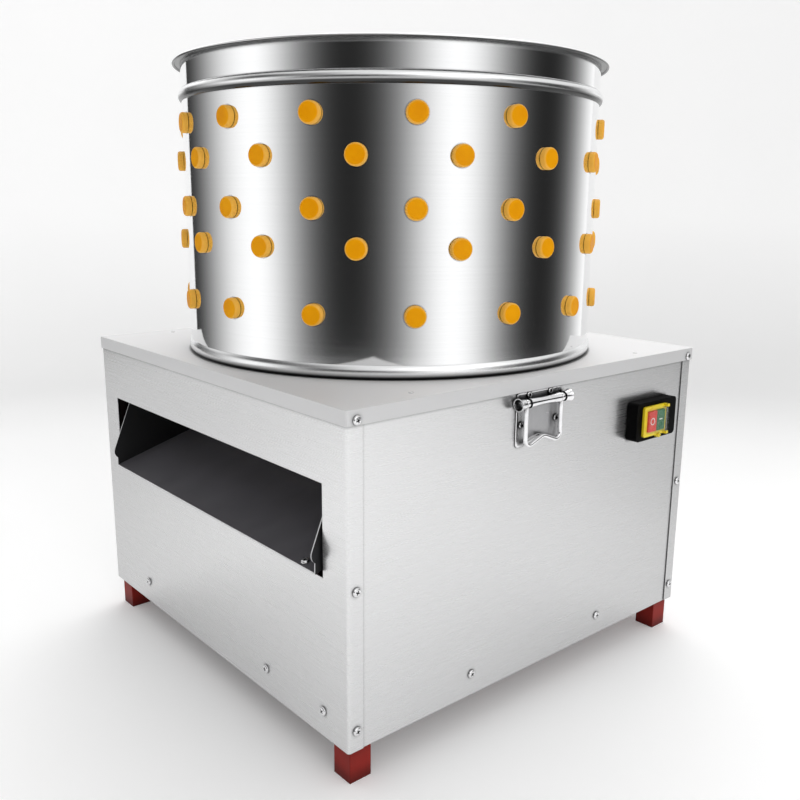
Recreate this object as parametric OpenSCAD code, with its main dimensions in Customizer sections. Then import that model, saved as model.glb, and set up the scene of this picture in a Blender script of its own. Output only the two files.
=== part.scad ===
// Poultry plucker: a polished drum lined with rubber fingers stands on a sheet-clad frame.
// A belt drives the turntable in the drum, and feathers leave by a chute in the left side.
// Millimetres. The origin is on the floor under the drum's axis, +Z is up, the front looks to -Y.

/* [Base] */
// Width of the base across the front, over the side panels
base_w = 548; // [540:1:620]
// Depth of the base, over the side panels' front and back flanges
base_d = 540; // [535:1:620]
// Height of the top cover's upper face above the floor
base_h = 379.5; // [370:0.5:440]
// Height of the panels' lower edge above the floor
foot_h = 38; // [25:1:50]
// Thickness of the panel sheet
sheet = 1.2; // [0.8:0.1:2]
// Width of the flanges that the side panels fold onto the front and back
flange_w = 18; // [15:1:30]
// Outer bend radius of the side panels' folded corners
bend_r = 3; // [2.5:0.5:6]

/* [Top cover] */
// Thickness of the cover sheet
cover_sheet = 1.2; // [0.8:0.1:2]
// Height of the cover's turned-down lip
lip_h = 15; // [12:1:25]
// Gap between the lip and the panels
lip_gap = 0.4; // [0.3:0.1:1]
// Height of the cover screws above the lip's lower edge
lip_screw_rise = 5; // [5:0.5:8]

/* [Frame] */
// Side of the square leg tube
leg = 26; // [22:1:32]
// Wall of the leg tube
leg_wall = 2; // [1.5:0.5:3]
// Distance of the legs behind the panels' outer faces
leg_inset = 6; // [5:0.5:8]
// Leg length of the angle-iron rails
rail = 25; // [20:1:28]
// Thickness of the angle iron
rail_t = 3; // [2:0.5:4]
// Height of the lower rails above the panels' lower edge
lower_rail_rise = 12; // [10:1:16]
// Width of the cross beams
beam_w = 20; // [18:1:24]
// Height of the cross beams
beam_h = 30; // [25:1:35]
// Wall of the cross beams
beam_wall = 2.5; // [2:0.5:4]

/* [Outlet and chute] */
// Distance of the feather outlet's ends from the front and the back
outlet_edge = 39; // [36:0.5:55]
// Height of the outlet's lower edge above the floor
outlet_z = 208; // [200:1:220]
// Height of the feather outlet
outlet_h = 94.5; // [80:0.5:110]
// Gap between the chute's side walls and the outlet's edges
chute_side_gap = 3.5; // [2:0.5:6]
// Height of the chute's lip above the outlet's lower edge
chute_lip_rise = 5.5; // [4:0.5:10]
// How far the chute's floor stands out of the left panel
chute_lip = 6.5; // [3:0.5:9]
// How far the chute's side walls stand out of the left panel
chute_ear = 10.5; // [7:0.5:12]
// Radius of the rounded corner of the side walls
chute_ear_r = 10; // [6:1:14]
// Rake of the side walls' front edge from the vertical, degrees
chute_rake = 22; // [18:1:24]
// Height of the chute's end wall under the upper rails, which sets the floor's slope
chute_end_h = 9.2; // [6:0.1:16]
// Thickness of the chute sheet
chute_t = 1.5; // [1:0.1:2]

/* [Drum] */
// Outer radius of the drum's wall
drum_r = 250; // [240:1:255]
// Thickness of the drum's wall
drum_wall = 1.5; // [1:0.1:2.5]
// Height of the drum from the top cover to the rim
drum_h = 332.5; // [310:0.5:380]
// How far the turned-out rim stands out of the drum's inner face
rim_w = 10.5; // [8:0.5:14]
// Section radius of the rim's rolled edge
rim_r = 1.5; // [1.4:0.1:4]
// Height of the upper bead's middle above the top cover
bead_z = 295.5; // [285:0.5:300]
// Height of the upper bead's section
bead_h = 13.5; // [10:0.5:16]
// How far the upper bead stands out
bead_out = 3.6; // [2:0.1:5]
// Height of the lower bead's section
foot_bead_h = 15; // [10:0.5:18]
// How far the lower bead stands out
foot_bead_out = 2.6; // [1.5:0.1:5]

/* [Fingers] */
// Number of fingers in a full row round the drum
row_count = 15; // [10:1:18]
// Angle of one finger of the odd rows from the front, degrees
row_phase = -34; // [-90:0.5:90]
// Angle by which the even rows are turned, degrees
row_stagger = -13.5; // [-16:0.5:16]
// Angle of the drum's seam, where rows 1 and 3 have no finger, degrees
seam_angle = 14; // [-180:1:180]
// Height of row 1, the top row, above the top cover
row_1_z = 262.5; // [258:0.5:268]
// Height of row 2 above the top cover
row_2_z = 223; // [215:0.5:228]
// Height of row 3 above the top cover
row_3_z = 171.5; // [168:0.5:180]
// Height of row 4 above the top cover
row_4_z = 132.5; // [130:0.5:138]
// Height of row 5, the bottom row, above the top cover
row_5_z = 65.5; // [62:0.5:80]
// Radius of a finger's head
head_r = 11.3; // [10:0.1:14]
// Height of a finger's head
head_h = 7; // [4:0.5:9]
// Rounding of the head's outer edge
head_edge = 2.5; // [1:0.5:3.5]
// Radius of a finger's neck, which fills its hole
neck_r = 9.2; // [7:0.1:9.5]
// Radius of the collar behind the wall
collar_r = 11; // [10:0.5:12]
// Thickness of the collar
collar_h = 4; // [3:0.5:6]
// Length of a finger beyond the wall's outer face
finger_len = 86; // [70:1:88]
// Root radius of the ribbed body next to the collar
finger_root_r = 8; // [7:0.5:8.5]
// Root radius of the ribbed body at the tip
finger_tip_r = 5.2; // [4:0.2:6]
// Number of ribs on a finger
rib_count = 8; // [4:1:10]
// Height of a rib above the root
rib_h = 1.2; // [0.6:0.1:1.4]
// Gap between a finger's neck and its hole
finger_gap = 0.3; // [0.1:0.1:0.6]

/* [Turntable] */
// Gap between the turntable and the drum's wall
table_gap = 8.5; // [6:0.5:14]
// Height of the turntable's underside above the top cover
table_rise = 14; // [12:0.5:20]
// Thickness of the turntable plate
table_t = 3; // [2:0.5:5]
// Height of the skirt under the turntable's edge
table_skirt = 6; // [4:0.5:8]
// Radius of the inner finger ring
ring_1_r = 72; // [70:1:76]
// Radius of the middle finger ring
ring_2_r = 112; // [108:1:118]
// Radius of the outer finger ring
ring_3_r = 150; // [144:1:150]
// Number of fingers in the inner ring
ring_1_count = 6; // [3:1:8]
// Number of fingers in the middle ring
ring_2_count = 10; // [5:1:14]
// Number of fingers in the outer ring
ring_3_count = 15; // [6:1:20]

/* [Shaft and bearings] */
// Radius of the main shaft
shaft_r = 12.5; // [11:0.5:14]
// Running gap between a shaft and its bearing
run_gap = 0.05; // [0.02:0.01:0.1]
// Radius of the hub's flange under the turntable
hub_flange_r = 48; // [42:1:52]
// Thickness of the hub's flange
hub_flange_t = 10; // [6:0.5:12]
// Radius of the hub's boss
hub_r = 25; // [20:0.5:28]
// Length of the hub's boss below its flange
hub_boss_h = 30; // [24:1:34]
// Pitch radius of the hub's bolts
hub_bolt_pr = 37; // [33:0.5:38]
// Outer radius of a bearing
bearing_r = 26; // [24:0.5:28]
// Width of a bearing
bearing_w = 15; // [12:0.5:18]
// Wall of the bearing housing's tube
housing_wall = 10; // [8:0.5:12]
// Height of the bearing housing
housing_h = 150; // [130:1:155]
// Side of the housing's square flange
housing_flange = 130; // [126:1:150]
// Thickness of the housing's flange
housing_flange_t = 10; // [8:0.5:14]
// Distance from the drum's axis to the bearing beams' middles
bearing_beam_x = 50; // [48:0.5:52]
// Outer radius of the splash collar round the shaft
collar_tube_r = 30; // [28:0.5:32]
// Wall of the splash collar
collar_tube_wall = 3; // [2:0.5:4]
// Gap between the splash collar's mouth and the water slinger's web
collar_gap = 10; // [6:0.5:14]
// Outer radius of the water slinger
slinger_r = 37; // [36:0.5:42]

/* [Belt drive] */
// Distance from the drum's axis to the motor's axis
motor_x = 185; // [183:1:190]
// Outer radius of the driven pulley
pulley_r = 116; // [105:1:118]
// Outer radius of the motor's pulley
motor_pulley_r = 30; // [27:0.5:34]
// Width of both pulleys
pulley_w = 22; // [18:0.5:24]
// Gap between the pulleys and the cross beams
pulley_gap = 3; // [2:0.5:5]
// Top width of the belt groove
groove_w = 14; // [12:0.2:15]
// Depth of the belt groove
groove_depth = 11; // [9:0.5:13]
// Bottom width of the belt groove
groove_bottom = 6.8; // [5:0.2:8]
// Height of the belt's section
belt_h = 8; // [6:0.5:8.5]
// Gap between the belt's sides and the groove
belt_gap = 0.4; // [0.3:0.1:0.6]

/* [Motor] */
// Radius over the motor's fins
motor_r = 66; // [60:1:68]
// Height of the motor's fins
fin_h = 6; // [3:0.5:10]
// Number of fins
fin_count = 28; // [12:2:36]
// Height of the motor's body above its flange
motor_h = 145; // [130:1:160]
// Thickness of the motor's flange
motor_flange_t = 12; // [8:0.5:14]
// Distance from the motor's axis to its beams' middles, which hold the flange bolts
motor_bolt_x = 45; // [44:0.5:47]
// Distance of the flange bolts from the motor's axis along the beams
motor_bolt_y = 60; // [58:0.5:66]
// Height of the fan cover
fan_cover_h = 34; // [25:1:38]
// Radius of the motor's shaft
motor_shaft_r = 9.5; // [7:0.5:11]

/* [Switch] */
// Width of the switch box
switch_w = 80; // [75:1:90]
// Height of the switch box
switch_h = 47; // [44:1:55]
// Depth of the switch box
switch_depth = 15; // [14:0.5:22]
// Corner radius of the switch box
switch_corner = 5; // [2:0.5:8]
// Distance of the switch box from the right side
switch_inset = 48.5; // [45:0.5:70]
// Height of the switch box's middle above the floor
switch_z = 302.5; // [290:0.5:310]
// Width of the switch plate
plate_w = 46; // [45:0.5:52]
// Height of the switch plate
plate_h = 37; // [36:0.5:40]
// Thickness of the switch plate
plate_t = 3; // [2:0.5:4]
// Distance of the plate from the box's left end
plate_inset = 10.5; // [6:0.5:14]
// Width of the plate's window for the buttons
window_w = 33.5; // [31:0.5:34.5]
// Height of the plate's window
window_h = 26; // [22:0.5:26]
// How far the buttons stand out of the plate
button_out = 2; // [1:0.5:2.5]
// Travel of the buttons
button_travel = 3; // [2:0.5:3.5]
// Gap round the buttons
button_gap = 0.3; // [0.2:0.1:0.5]
// Wall of the clear flap
flap_wall = 1.2; // [0.8:0.1:1.6]
// Height of the clear flap above the plate
flap_h = 6; // [5:0.5:8]
// Radius of the flap's hinge pin
flap_pin_r = 0.9; // [0.7:0.1:1.2]

/* [Handles] */
// Distance of the front handle's middle from the drum's axis
handle_x = -16.5; // [-60:0.5:40]
// Distance of the handles' pins below the top cover's upper face
handle_low = 26; // [26:0.5:50]
// Width of a handle's base plate
handle_w = 72; // [70:1:84]
// Length of a handle's plate below its pin
handle_drop = 48.5; // [44:0.5:55]
// Height of a handle's plate above its pin
handle_rise = 11; // [10:0.5:12]
// Thickness of a handle's plate
handle_t = 1.5; // [1:0.1:2.5]
// Distance of a handle's pin from the panel
handle_pin_out = 8; // [7.5:0.5:10]
// Radius of a handle's pin
handle_pin_r = 2.5; // [2:0.1:2.8]
// Length of a handle's rolled barrel
barrel_len = 82; // [78:1:96]
// Radius of the barrel at its flared ends
barrel_end_r = 7.2; // [6:0.1:7.4]
// Radius of the barrel next to the bail's eyes
barrel_eye_r = 5.4; // [4.8:0.1:5.8]
// Radius of the barrel's waist
barrel_waist_r = 4.3; // [3.8:0.1:4.6]
// Distance between the bail's side bars
bail_w = 56; // [54:1:58]
// Radius of the bail's bar
bail_r = 2.5; // [2:0.1:3]
// Bend radius of the bail's lower corners
bail_corner = 7; // [5:0.5:9]
// Rise of the bail's waisted lower bar
bail_waist = 7; // [4:0.5:10]

/* [Fasteners] */
// Head radius of the panel screws
screw_head_r = 4.8; // [4:0.1:5]
// Head height of the panel screws
screw_head_h = 2.6; // [2:0.1:3]
// Shank radius of the panel screws
screw_r = 2.4; // [2:0.1:2.6]
// Shank length of the panel screws
screw_len = 9; // [8.5:0.5:12]
// Height of the front and back panels' lower screws above the floor
low_screw_z = 63; // [60:0.5:66]
// Distance of those screws from the middle of their panel
low_screw_x = 108; // [60:1:160]
// Height of the side panels' screws above the floor
side_screw_z = 66; // [60:0.5:67]
// Distances of the side panels' screws from the front
side_screw_in = [434, 146, 41]; // [41:1:500]
// Heights of the flange screws above the floor
flange_screw_z = [60, 204.5]; // [58:0.5:320]
// Distance of the flange screws from the side panels' faces
flange_screw_inset = 10; // [9:0.5:12]
// Shank radius of the machine bolts
bolt_r = 4; // [3:0.5:5]
// Radius of the bolt heads over their corners
bolt_head_r = 7.5; // [6.5:0.5:8.5]
// Height of the bolt heads
bolt_head_h = 5.5; // [4:0.5:7]
// Gap between fasteners and their holes
hole_gap = 0.2; // [0.1:0.1:0.5]

/* [Hidden] */
$fn = 48;
eps = 1;

// Heights of the stack, from the floor up
panel_gap = 0.3;
cover_under = base_h - cover_sheet;
panel_top = cover_under - panel_gap;
lower_rail_z = foot_h + lower_rail_rise;
beam_z = lower_rail_z + rail;
beam_top = beam_z + beam_h;
housing_top = beam_top + housing_h;
table_z = base_h + table_rise;
table_top = table_z + table_t;
belt_z = beam_z - pulley_gap - pulley_w / 2;
shaft_bottom = belt_z - pulley_w / 2;

// Rails: outer faces on the panels' inner faces, ends on the legs
side_face = base_w / 2 - sheet;
front_face = base_d / 2 - 2 * sheet;
leg_in_x = base_w / 2 - leg_inset - leg;
leg_in_y = base_d / 2 - leg_inset - leg;

// Chute: floor line from the lip to the end wall, walls inside the outlet
outlet_w = base_d - 2 * outlet_edge;
chute_half = outlet_w / 2 - chute_side_gap - chute_t;
chute_lip_x = -base_w / 2 - chute_lip;
chute_lip_z = outlet_z + chute_lip_rise;
chute_end_gap = 4;
chute_end_x = leg_in_x - chute_end_gap;
chute_top = cover_under - rail_t;
chute_slope = atan2(chute_top - chute_end_h - chute_lip_z, chute_end_x - chute_lip_x);
chute_tv = chute_t / cos(chute_slope);
chute_ear_x = -base_w / 2 - chute_ear + chute_ear_r;
chute_ear_rise = 18;
chute_ear_end = 235;
chute_ear_z = chute_lip_z + chute_ear_rise;
chute_rail_gap = 3;
chute_wall_x = -side_face + rail + chute_rail_gap;
chute_flange_gap = 2;
chute_flange_y = front_face - rail_t - chute_flange_gap;
chute_flange_x = side_face - rail_t - chute_flange_gap;
chute_flange_end = -leg_in_x + chute_end_gap;
chute_screw_y = front_face - rail + 1.5 * screw_head_r;
chute_screw_x = leg_in_x * 3 / 4;
chute_rivet_x = -base_w / 2;
chute_rivet_inset = 24;
chute_rivet_y = chute_half - chute_rivet_inset;

// Drum and turntable
drum_in = drum_r - drum_wall;
table_r = drum_in - table_gap;
cover_hole_edge = 2;
cover_hole_r = chute_half - cover_hole_edge;
row_z = [row_1_z, row_2_z, row_3_z, row_4_z, row_5_z];
row_pitch = 360 / row_count;
finger_hole_r = neck_r + finger_gap;
collar_seat = 0.35;
head_seat = 0.05;

// Hub, slinger down to just above the chute's floor, and collar up into the slinger
function chute_floor_z(x) = chute_lip_z + (x - chute_lip_x) * tan(chute_slope);
hub_bottom = table_z - hub_flange_t - hub_boss_h;
slinger_gap = 0.3;
slinger_web = 6;
slinger_wall = 4;
slinger_rise = 6;
slinger_top = hub_bottom - slinger_gap;
slinger_low = chute_floor_z(slinger_r) + slinger_rise;
collar_top = slinger_top - slinger_web - collar_gap;
collar_tube_h = collar_top - housing_top;
washer_r = 20;
washer_t = 3;
thread_r = 8;
thread_h = 20;
cap_r = 15;
cap_h = 12;
cap_dome_r = 12.5;
cap_dome_sink = 2;
ring_1_turn = 0;
ring_2_turn = 9;
ring_3_turn = 0;

// Fit of shafts and screws
shaft_hole = shaft_r + run_gap;
motor_shaft_hole = motor_shaft_r + run_gap;
screw_hole = screw_r + hole_gap;
core_past = 0.5;
cover_grip = 2;
bolt_hole = bolt_r + hole_gap;
rivet_head_r = 3.4;
rivet_head_h = 1.5;
rivet_r = 2;
rivet_hole = rivet_r + hole_gap;
rivet_len = 5;
bolt_bite = 12;
tap_gap = 3;
flange_corner = 6;
bearing_step = 4;
race_t = 3;

// Belt: line of the belt's outer face and its straight runs
belt_drop = 0.5;
belt_r = pulley_r - belt_drop;
belt_small_r = motor_pulley_r - belt_drop;
belt_angle = acos((belt_r - belt_small_r) / motor_x);
belt_turns = 48;

// Motor stack
motor_base = beam_top + motor_flange_t;
motor_top = motor_base + motor_h;
flange_edge = 24;
motor_core_r = motor_r - fin_h;
rotor_end = 10;
fin_t = 2.5;
fin_end = 6;

// Switch, with its middle in the front panel's plane
switch_x = base_w / 2 - switch_inset - switch_w / 2;
plate_x = plate_inset + plate_w / 2 - switch_w / 2;
plate_face = switch_depth + plate_t;
pocket_floor = 4;
button_w = window_w / 2 - 1.5 * button_gap;
button_h = window_h - 2 * button_gap;
pocket_gap = 1;
button_bottom = pocket_floor + button_travel + pocket_gap;
button_corner = 1.5;
plate_corner = 3;
flap_gap = 0.5;
flap_knuckle_r = 2.2;
flap_pin_in = 4;
flap_pin_x = plate_x + plate_w / 2 - flap_pin_in;
flap_pin_out = plate_face + flap_gap + flap_knuckle_r;
flap_lap = 2.5;
flap_left = plate_x - window_w / 2 - flap_lap;
flap_len = flap_pin_x - flap_left;
flap_side_lap = 1.8;
flap_half = window_h / 2 + flap_side_lap;
flap_corner = 3;
lug_in = flap_half + flap_gap;
lug_out = plate_h / 2;
nub_side = 4.6;
nub_hole_r = 1;
nub_h = 3;
nub_in = 6;
nub_x = plate_x + nub_in;
nub_past = 0.2;
nub_y = -plate_h / 2 - nub_past;

// Handle: pin's height, and the bail's eyes between the barrel's three lengths
handle_z = base_h - handle_low;
eye_gap = 0.5;
eye_len = 7;
eye_in = bail_w / 2 - eye_len / 2;
eye_out = bail_w / 2 + eye_len / 2;
barrel_in = eye_in - eye_gap;
barrel_out = eye_out + eye_gap;
barrel_cup = 3;
pin_half = barrel_out + barrel_cup;
waist_cut_r = 40;
waist_cut = 7;
eye_r = 4.6;
top_rivet_x = 17;
rivet_edge = 4;

// Bail: centres of its corner and waist bends, and the straight bar that touches both
bail_low = handle_drop - bail_r;
bail_root = handle_pin_r + eye_gap;
bail_waist_r = 10;
bail_steps = 8;
bail_cx = bail_w / 2 - bail_corner;
bail_cy = bail_corner - bail_low;
bail_wy = bail_waist - bail_low - bail_waist_r;
bail_bend = bail_corner + bail_waist_r;
bail_slope_len = sqrt(bail_cx * bail_cx + pow(bail_bend - bail_waist, 2) - bail_bend * bail_bend);
bail_slope = atan2(bail_bend, bail_slope_len) - atan2(bail_bend - bail_waist, bail_cx);

// Cable gland on the back panel
gland_x = 170;
gland_z = 112;
gland_r = 10;
gland_thread_r = 8;

steel = [0.78, 0.79, 0.80];
mirror_steel = [0.86, 0.87, 0.88];
red_paint = [0.45, 0.14, 0.12];
amber = [0.93, 0.60, 0.08];
dark_paint = [0.20, 0.20, 0.22];
motor_paint = [0.30, 0.36, 0.42];
black_plastic = [0.08, 0.08, 0.09];
black_rubber = [0.10, 0.10, 0.10];

// Flat rectangle about the origin with true round corners
module round_rect(w, d, r) {
    square([w - 2 * r, d], center = true);
    square([w, d - 2 * r], center = true);
    for (x = [-1, 1], y = [-1, 1])
        translate([x * (w / 2 - r), y * (d / 2 - r)]) circle(r);
}

// Places on the four faces: the child's +Z looks out of the face
module on_front(x, z, out = 0) {
    translate([x, -base_d / 2 - out, z]) rotate([90, 0, 0]) children();
}

module on_back(x, z, out = 0) {
    rotate([0, 0, 180]) on_front(-x, z, out) children();
}

module on_left(y, z, out = 0) {
    translate([-base_w / 2 - out, y, z]) rotate([0, -90, 0]) children();
}

module on_right(y, z, out = 0) {
    mirror([1, 0, 0]) on_left(y, z, out) children();
}

// Pan-head screw: the head stands on z = 0, the shank points down
module pan_screw(len = screw_len) {
    crown_r = (screw_head_r * screw_head_r + screw_head_h * screw_head_h) / (2 * screw_head_h);
    intersection() {
        translate([0, 0, screw_head_h - crown_r]) sphere(crown_r);
        cylinder(r = screw_head_r, h = screw_head_h + eps);
    }
    translate([0, 0, -len]) cylinder(r = screw_r, h = len + screw_head_h / 2);
}

module screw_core(len = screw_len) {
    translate([0, 0, -len - core_past]) cylinder(r = screw_hole, h = len + 2 * core_past);
}

// Hexagon bolt: the head stands on z = 0
module hex_bolt(len) {
    cylinder(r = bolt_head_r, h = bolt_head_h, $fn = 6);
    translate([0, 0, -len]) cylinder(r = bolt_r, h = len + bolt_head_h / 2);
}

module flange_screw_places() {
    for (s = [-1, 1], z = flange_screw_z) {
        on_front(s * (base_w / 2 - flange_screw_inset), z) children();
        on_back(s * (base_w / 2 - flange_screw_inset), z) children();
    }
}

module low_screw_places() {
    for (s = [-1, 1]) {
        on_front(s * low_screw_x, low_screw_z, -sheet) children();
        on_back(s * low_screw_x, low_screw_z, -sheet) children();
    }
}

module side_screw_places() {
    for (d = side_screw_in) {
        y = d - base_d / 2;
        on_left(y, side_screw_z) children();
        on_right(y, side_screw_z) children();
    }
}

module cover_screw_places() {
    lip_out = lip_gap + cover_sheet;
    lip_screw_z = base_h - lip_h + lip_screw_rise;
    for (s = [-1, 1]) {
        on_front(s * (base_w / 2 - flange_screw_inset), lip_screw_z, lip_out) children();
        on_back(s * (base_w / 2 - flange_screw_inset), lip_screw_z, lip_out) children();
    }
}

module panel_screw_places() {
    flange_screw_places() children();
    low_screw_places() children();
    side_screw_places() children();
}

module panel_screw_cores() {
    panel_screw_places() screw_core();
    cover_screw_places() screw_core(screw_len + cover_grip);
}

module panel_screws() {
    color(steel) panel_screw_places() pan_screw();
}

module cover_screws() {
    color(steel) cover_screw_places() pan_screw(screw_len + cover_grip);
}

// Red welded frame
module frame_legs() {
    color(red_paint) difference() {
        for (x = [-1, 1], y = [-1, 1])
            translate([x * (leg_in_x + leg / 2), y * (leg_in_y + leg / 2), 0])
                difference() {
                    translate([0, 0, cover_under / 2]) cube([leg, leg, cover_under], center = true);
                    translate([0, 0, cover_under / 2 + leg_wall])
                        cube([leg - 2 * leg_wall, leg - 2 * leg_wall, cover_under], center = true);
                }
        panel_screw_cores();
    }
}

// Angle iron along X: corner at the origin, one leg down and one leg to +Y
module angle_iron(len) {
    rotate([90, 0, 90])
        linear_extrude(len, center = true)
            polygon([[0, 0], [rail, 0], [rail, -rail_t], [rail_t, -rail_t], [rail_t, -rail], [0, -rail]]);
}

// Four rails between the legs, with their top faces at height z
module rail_frame(z) {
    for (a = [0, 180])
        rotate([0, 0, a]) {
            translate([0, -front_face, z]) angle_iron(2 * leg_in_x);
            translate([-side_face, 0, z]) rotate([0, 0, -90]) angle_iron(2 * leg_in_y);
        }
}

module upper_rails() {
    color(red_paint) difference() {
        rail_frame(cover_under);
        chute_flange_places() screw_core(chute_t + rail_t);
        at_front_handle() handle_rivet_cores();
        at_back_handle() handle_rivet_cores();
    }
}

module lower_rails() {
    color(red_paint) difference() {
        rail_frame(beam_z);
        panel_screw_cores();
    }
}

module beam() {
    rotate([90, 0, 0])
        linear_extrude(2 * front_face, center = true)
            difference() {
                square([beam_w, beam_h], center = true);
                square([beam_w - 2 * beam_wall, beam_h - 2 * beam_wall], center = true);
            }
}

// Two beams carry the bearing housing and two the motor
module cross_beams() {
    beam_x = [-bearing_beam_x, bearing_beam_x, motor_x - motor_bolt_x, motor_x + motor_bolt_x];
    color(red_paint) difference() {
        for (x = beam_x)
            translate([x, 0, beam_z + beam_h / 2]) beam();
        housing_bolt_places() translate([0, 0, -beam_h / 2]) cylinder(r = bolt_hole, h = beam_h);
        motor_bolt_places() translate([0, 0, -beam_h / 2]) cylinder(r = bolt_hole, h = beam_h);
    }
}

// Stainless cladding
module top_cover() {
    cover_w = base_w + 2 * (lip_gap + cover_sheet);
    cover_d = base_d + 2 * (lip_gap + cover_sheet);
    color(steel) difference() {
        translate([0, 0, base_h - lip_h]) linear_extrude(lip_h) round_rect(cover_w, cover_d, bend_r);
        translate([0, 0, base_h - lip_h - eps])
            linear_extrude(lip_h - cover_sheet + eps)
                round_rect(base_w + 2 * lip_gap, base_d + 2 * lip_gap, bend_r - cover_sheet);
        translate([0, 0, base_h - lip_h]) cylinder(r = cover_hole_r, h = lip_h + eps, $fn = 96);
        cover_screw_places() screw_core();
    }
}

// Side panel on the left, folded onto the front and back
module side_panel() {
    translate([0, 0, foot_h])
        linear_extrude(panel_top - foot_h)
            difference() {
                round_rect(base_w, base_d, bend_r);
                round_rect(base_w - 2 * sheet, base_d - 2 * sheet, bend_r - sheet);
                translate([-base_w / 2 + flange_w, -base_d]) square([2 * base_w, 2 * base_d]);
            }
}

module left_panel() {
    color(steel) difference() {
        side_panel();
        translate([-base_w / 2 - eps, -outlet_w / 2, outlet_z]) cube([sheet + 2 * eps, outlet_w, outlet_h]);
        panel_screw_cores();
    }
}

module right_panel() {
    color(steel) difference() {
        mirror([1, 0, 0]) side_panel();
        panel_screw_cores();
    }
}

// Flat panel behind the side panels' front flanges
module flat_panel() {
    panel_w = base_w - 2 * bend_r;
    translate([-panel_w / 2, -base_d / 2 + sheet, foot_h]) cube([panel_w, sheet, panel_top - foot_h]);
}

module front_panel() {
    lead_hole_r = 6;
    color(steel) difference() {
        flat_panel();
        panel_screw_cores();
        at_front_handle() handle_rivet_cores();
        at_switch() cylinder(r = lead_hole_r, h = 4 * sheet, center = true);
    }
}

module back_panel() {
    color(steel) difference() {
        rotate([0, 0, 180]) flat_panel();
        panel_screw_cores();
        at_back_handle() handle_rivet_cores();
        on_back(gland_x, gland_z) cylinder(r = gland_thread_r + hole_gap, h = 8 * sheet, center = true);
    }
}

// Feather chute: sloping floor, two side walls, top flanges under the upper rails
function arc_points(c, r, a0, a1, n) =
    [for (i = [0:n]) c + r * [cos(a0 + (a1 - a0) * i / n), sin(a0 + (a1 - a0) * i / n)]];

module chute_wall() {
    ear = [chute_ear_x, chute_ear_z];
    rake_start = ear + chute_ear_r * [-cos(chute_rake), sin(chute_rake)];
    knee_z = rake_start[1] + (chute_wall_x - rake_start[0]) / tan(chute_rake);
    rotate([90, 0, 0])
        linear_extrude(chute_t)
            polygon(concat(
                [[chute_end_x, chute_floor_z(chute_end_x) - chute_tv], [chute_end_x, chute_top]],
                [[chute_wall_x, chute_top], [chute_wall_x, knee_z]],
                arc_points(ear, chute_ear_r, 180 - chute_rake, chute_ear_end, 8),
                [[chute_lip_x, chute_lip_z], [chute_lip_x, chute_lip_z - chute_tv]]));
}

module chute_flange_places() {
    for (x = [-1, 0, 1], s = [-1, 1])
        translate([x * chute_screw_x, s * chute_screw_y, chute_top - chute_t]) rotate([180, 0, 0]) children();
}

module chute_rivet_place() {
    translate([chute_rivet_x, -chute_rivet_y, chute_floor_z(chute_rivet_x)])
        rotate([0, -chute_slope, 0]) children();
}

module feather_chute() {
    end_z = chute_floor_z(chute_end_x) - chute_tv;
    color(dark_paint) difference() {
        union() {
            rotate([90, 0, 0])
                linear_extrude(2 * chute_half + 2 * chute_t, center = true)
                    polygon([
                        [chute_lip_x, chute_lip_z],
                        [chute_end_x, chute_floor_z(chute_end_x)],
                        [chute_end_x, end_z],
                        [chute_lip_x, chute_lip_z - chute_tv]
                    ]);
            translate([0, chute_half + chute_t, 0]) chute_wall();
            translate([0, -chute_half, 0]) chute_wall();
            translate([chute_end_x - chute_t, -chute_half - chute_t, end_z])
                cube([chute_t, 2 * chute_half + 2 * chute_t, chute_top - end_z]);
            for (s = [0, 1])
                mirror([0, s, 0])
                    translate([chute_flange_end, chute_half, chute_top - chute_t])
                        cube([chute_end_x - chute_flange_end, chute_flange_y - chute_half, chute_t]);
            translate([chute_end_x - chute_t, -chute_half, chute_top - chute_t])
                cube([chute_flange_x - chute_end_x + chute_t, 2 * chute_half, chute_t]);
        }
        translate([0, 0, housing_top]) cylinder(r = collar_tube_r + hole_gap, h = collar_tube_h);
        chute_flange_places() screw_core(chute_t + rail_t);
        chute_rivet_place() screw_core(4 * chute_t);
    }
}

module chute_screws() {
    color(steel) {
        chute_flange_places() pan_screw(chute_t + rail_t - core_past);
        chute_rivet_place() pan_screw(3 * chute_t);
    }
}

module splash_collar() {
    color(steel) translate([0, 0, housing_top])
        difference() {
            cylinder(r = collar_tube_r, h = collar_tube_h);
            translate([0, 0, -eps])
                cylinder(r = collar_tube_r - collar_tube_wall, h = collar_tube_h + 2 * eps);
        }
}

// Drum: rolled sheet with two beads and a turned-out rim with a rolled edge
function bead_arc(h, out) = (h * h / 4 + out * out) / (2 * out);

module bead_outer(z, h, out) {
    r = bead_arc(h, out);
    intersection() {
        translate([drum_r + out - r, z]) circle(r);
        translate([drum_in, z - h / 2]) square([out + drum_wall + eps, h]);
    }
}

module bead_groove(z, h, out) {
    r = bead_arc(h, out);
    translate([drum_r + out - r, z]) circle(r - drum_wall);
}

module drum_profile() {
    difference() {
        union() {
            translate([drum_in, 0]) square([drum_wall, drum_h]);
            translate([drum_in, drum_h - drum_wall]) square([rim_w - rim_r, drum_wall]);
            translate([drum_in + rim_w - rim_r, drum_h - rim_r]) circle(rim_r);
            bead_outer(bead_z, bead_h, bead_out);
            bead_outer(foot_bead_h / 2, foot_bead_h, foot_bead_out);
        }
        bead_groove(bead_z, bead_h, bead_out);
        bead_groove(foot_bead_h / 2, foot_bead_h, foot_bead_out);
    }
}

// Angles of one row: rows 1 and 3 leave out the finger at the seam
function row_angles(row) = [
    for (k = [0:row_count - 1])
        let (a = row_phase + (row % 2) * row_stagger + k * row_pitch)
            if (!((row == 0 || row == 2) && cos(a - seam_angle) > cos(row_pitch / 4))) a
];

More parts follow.
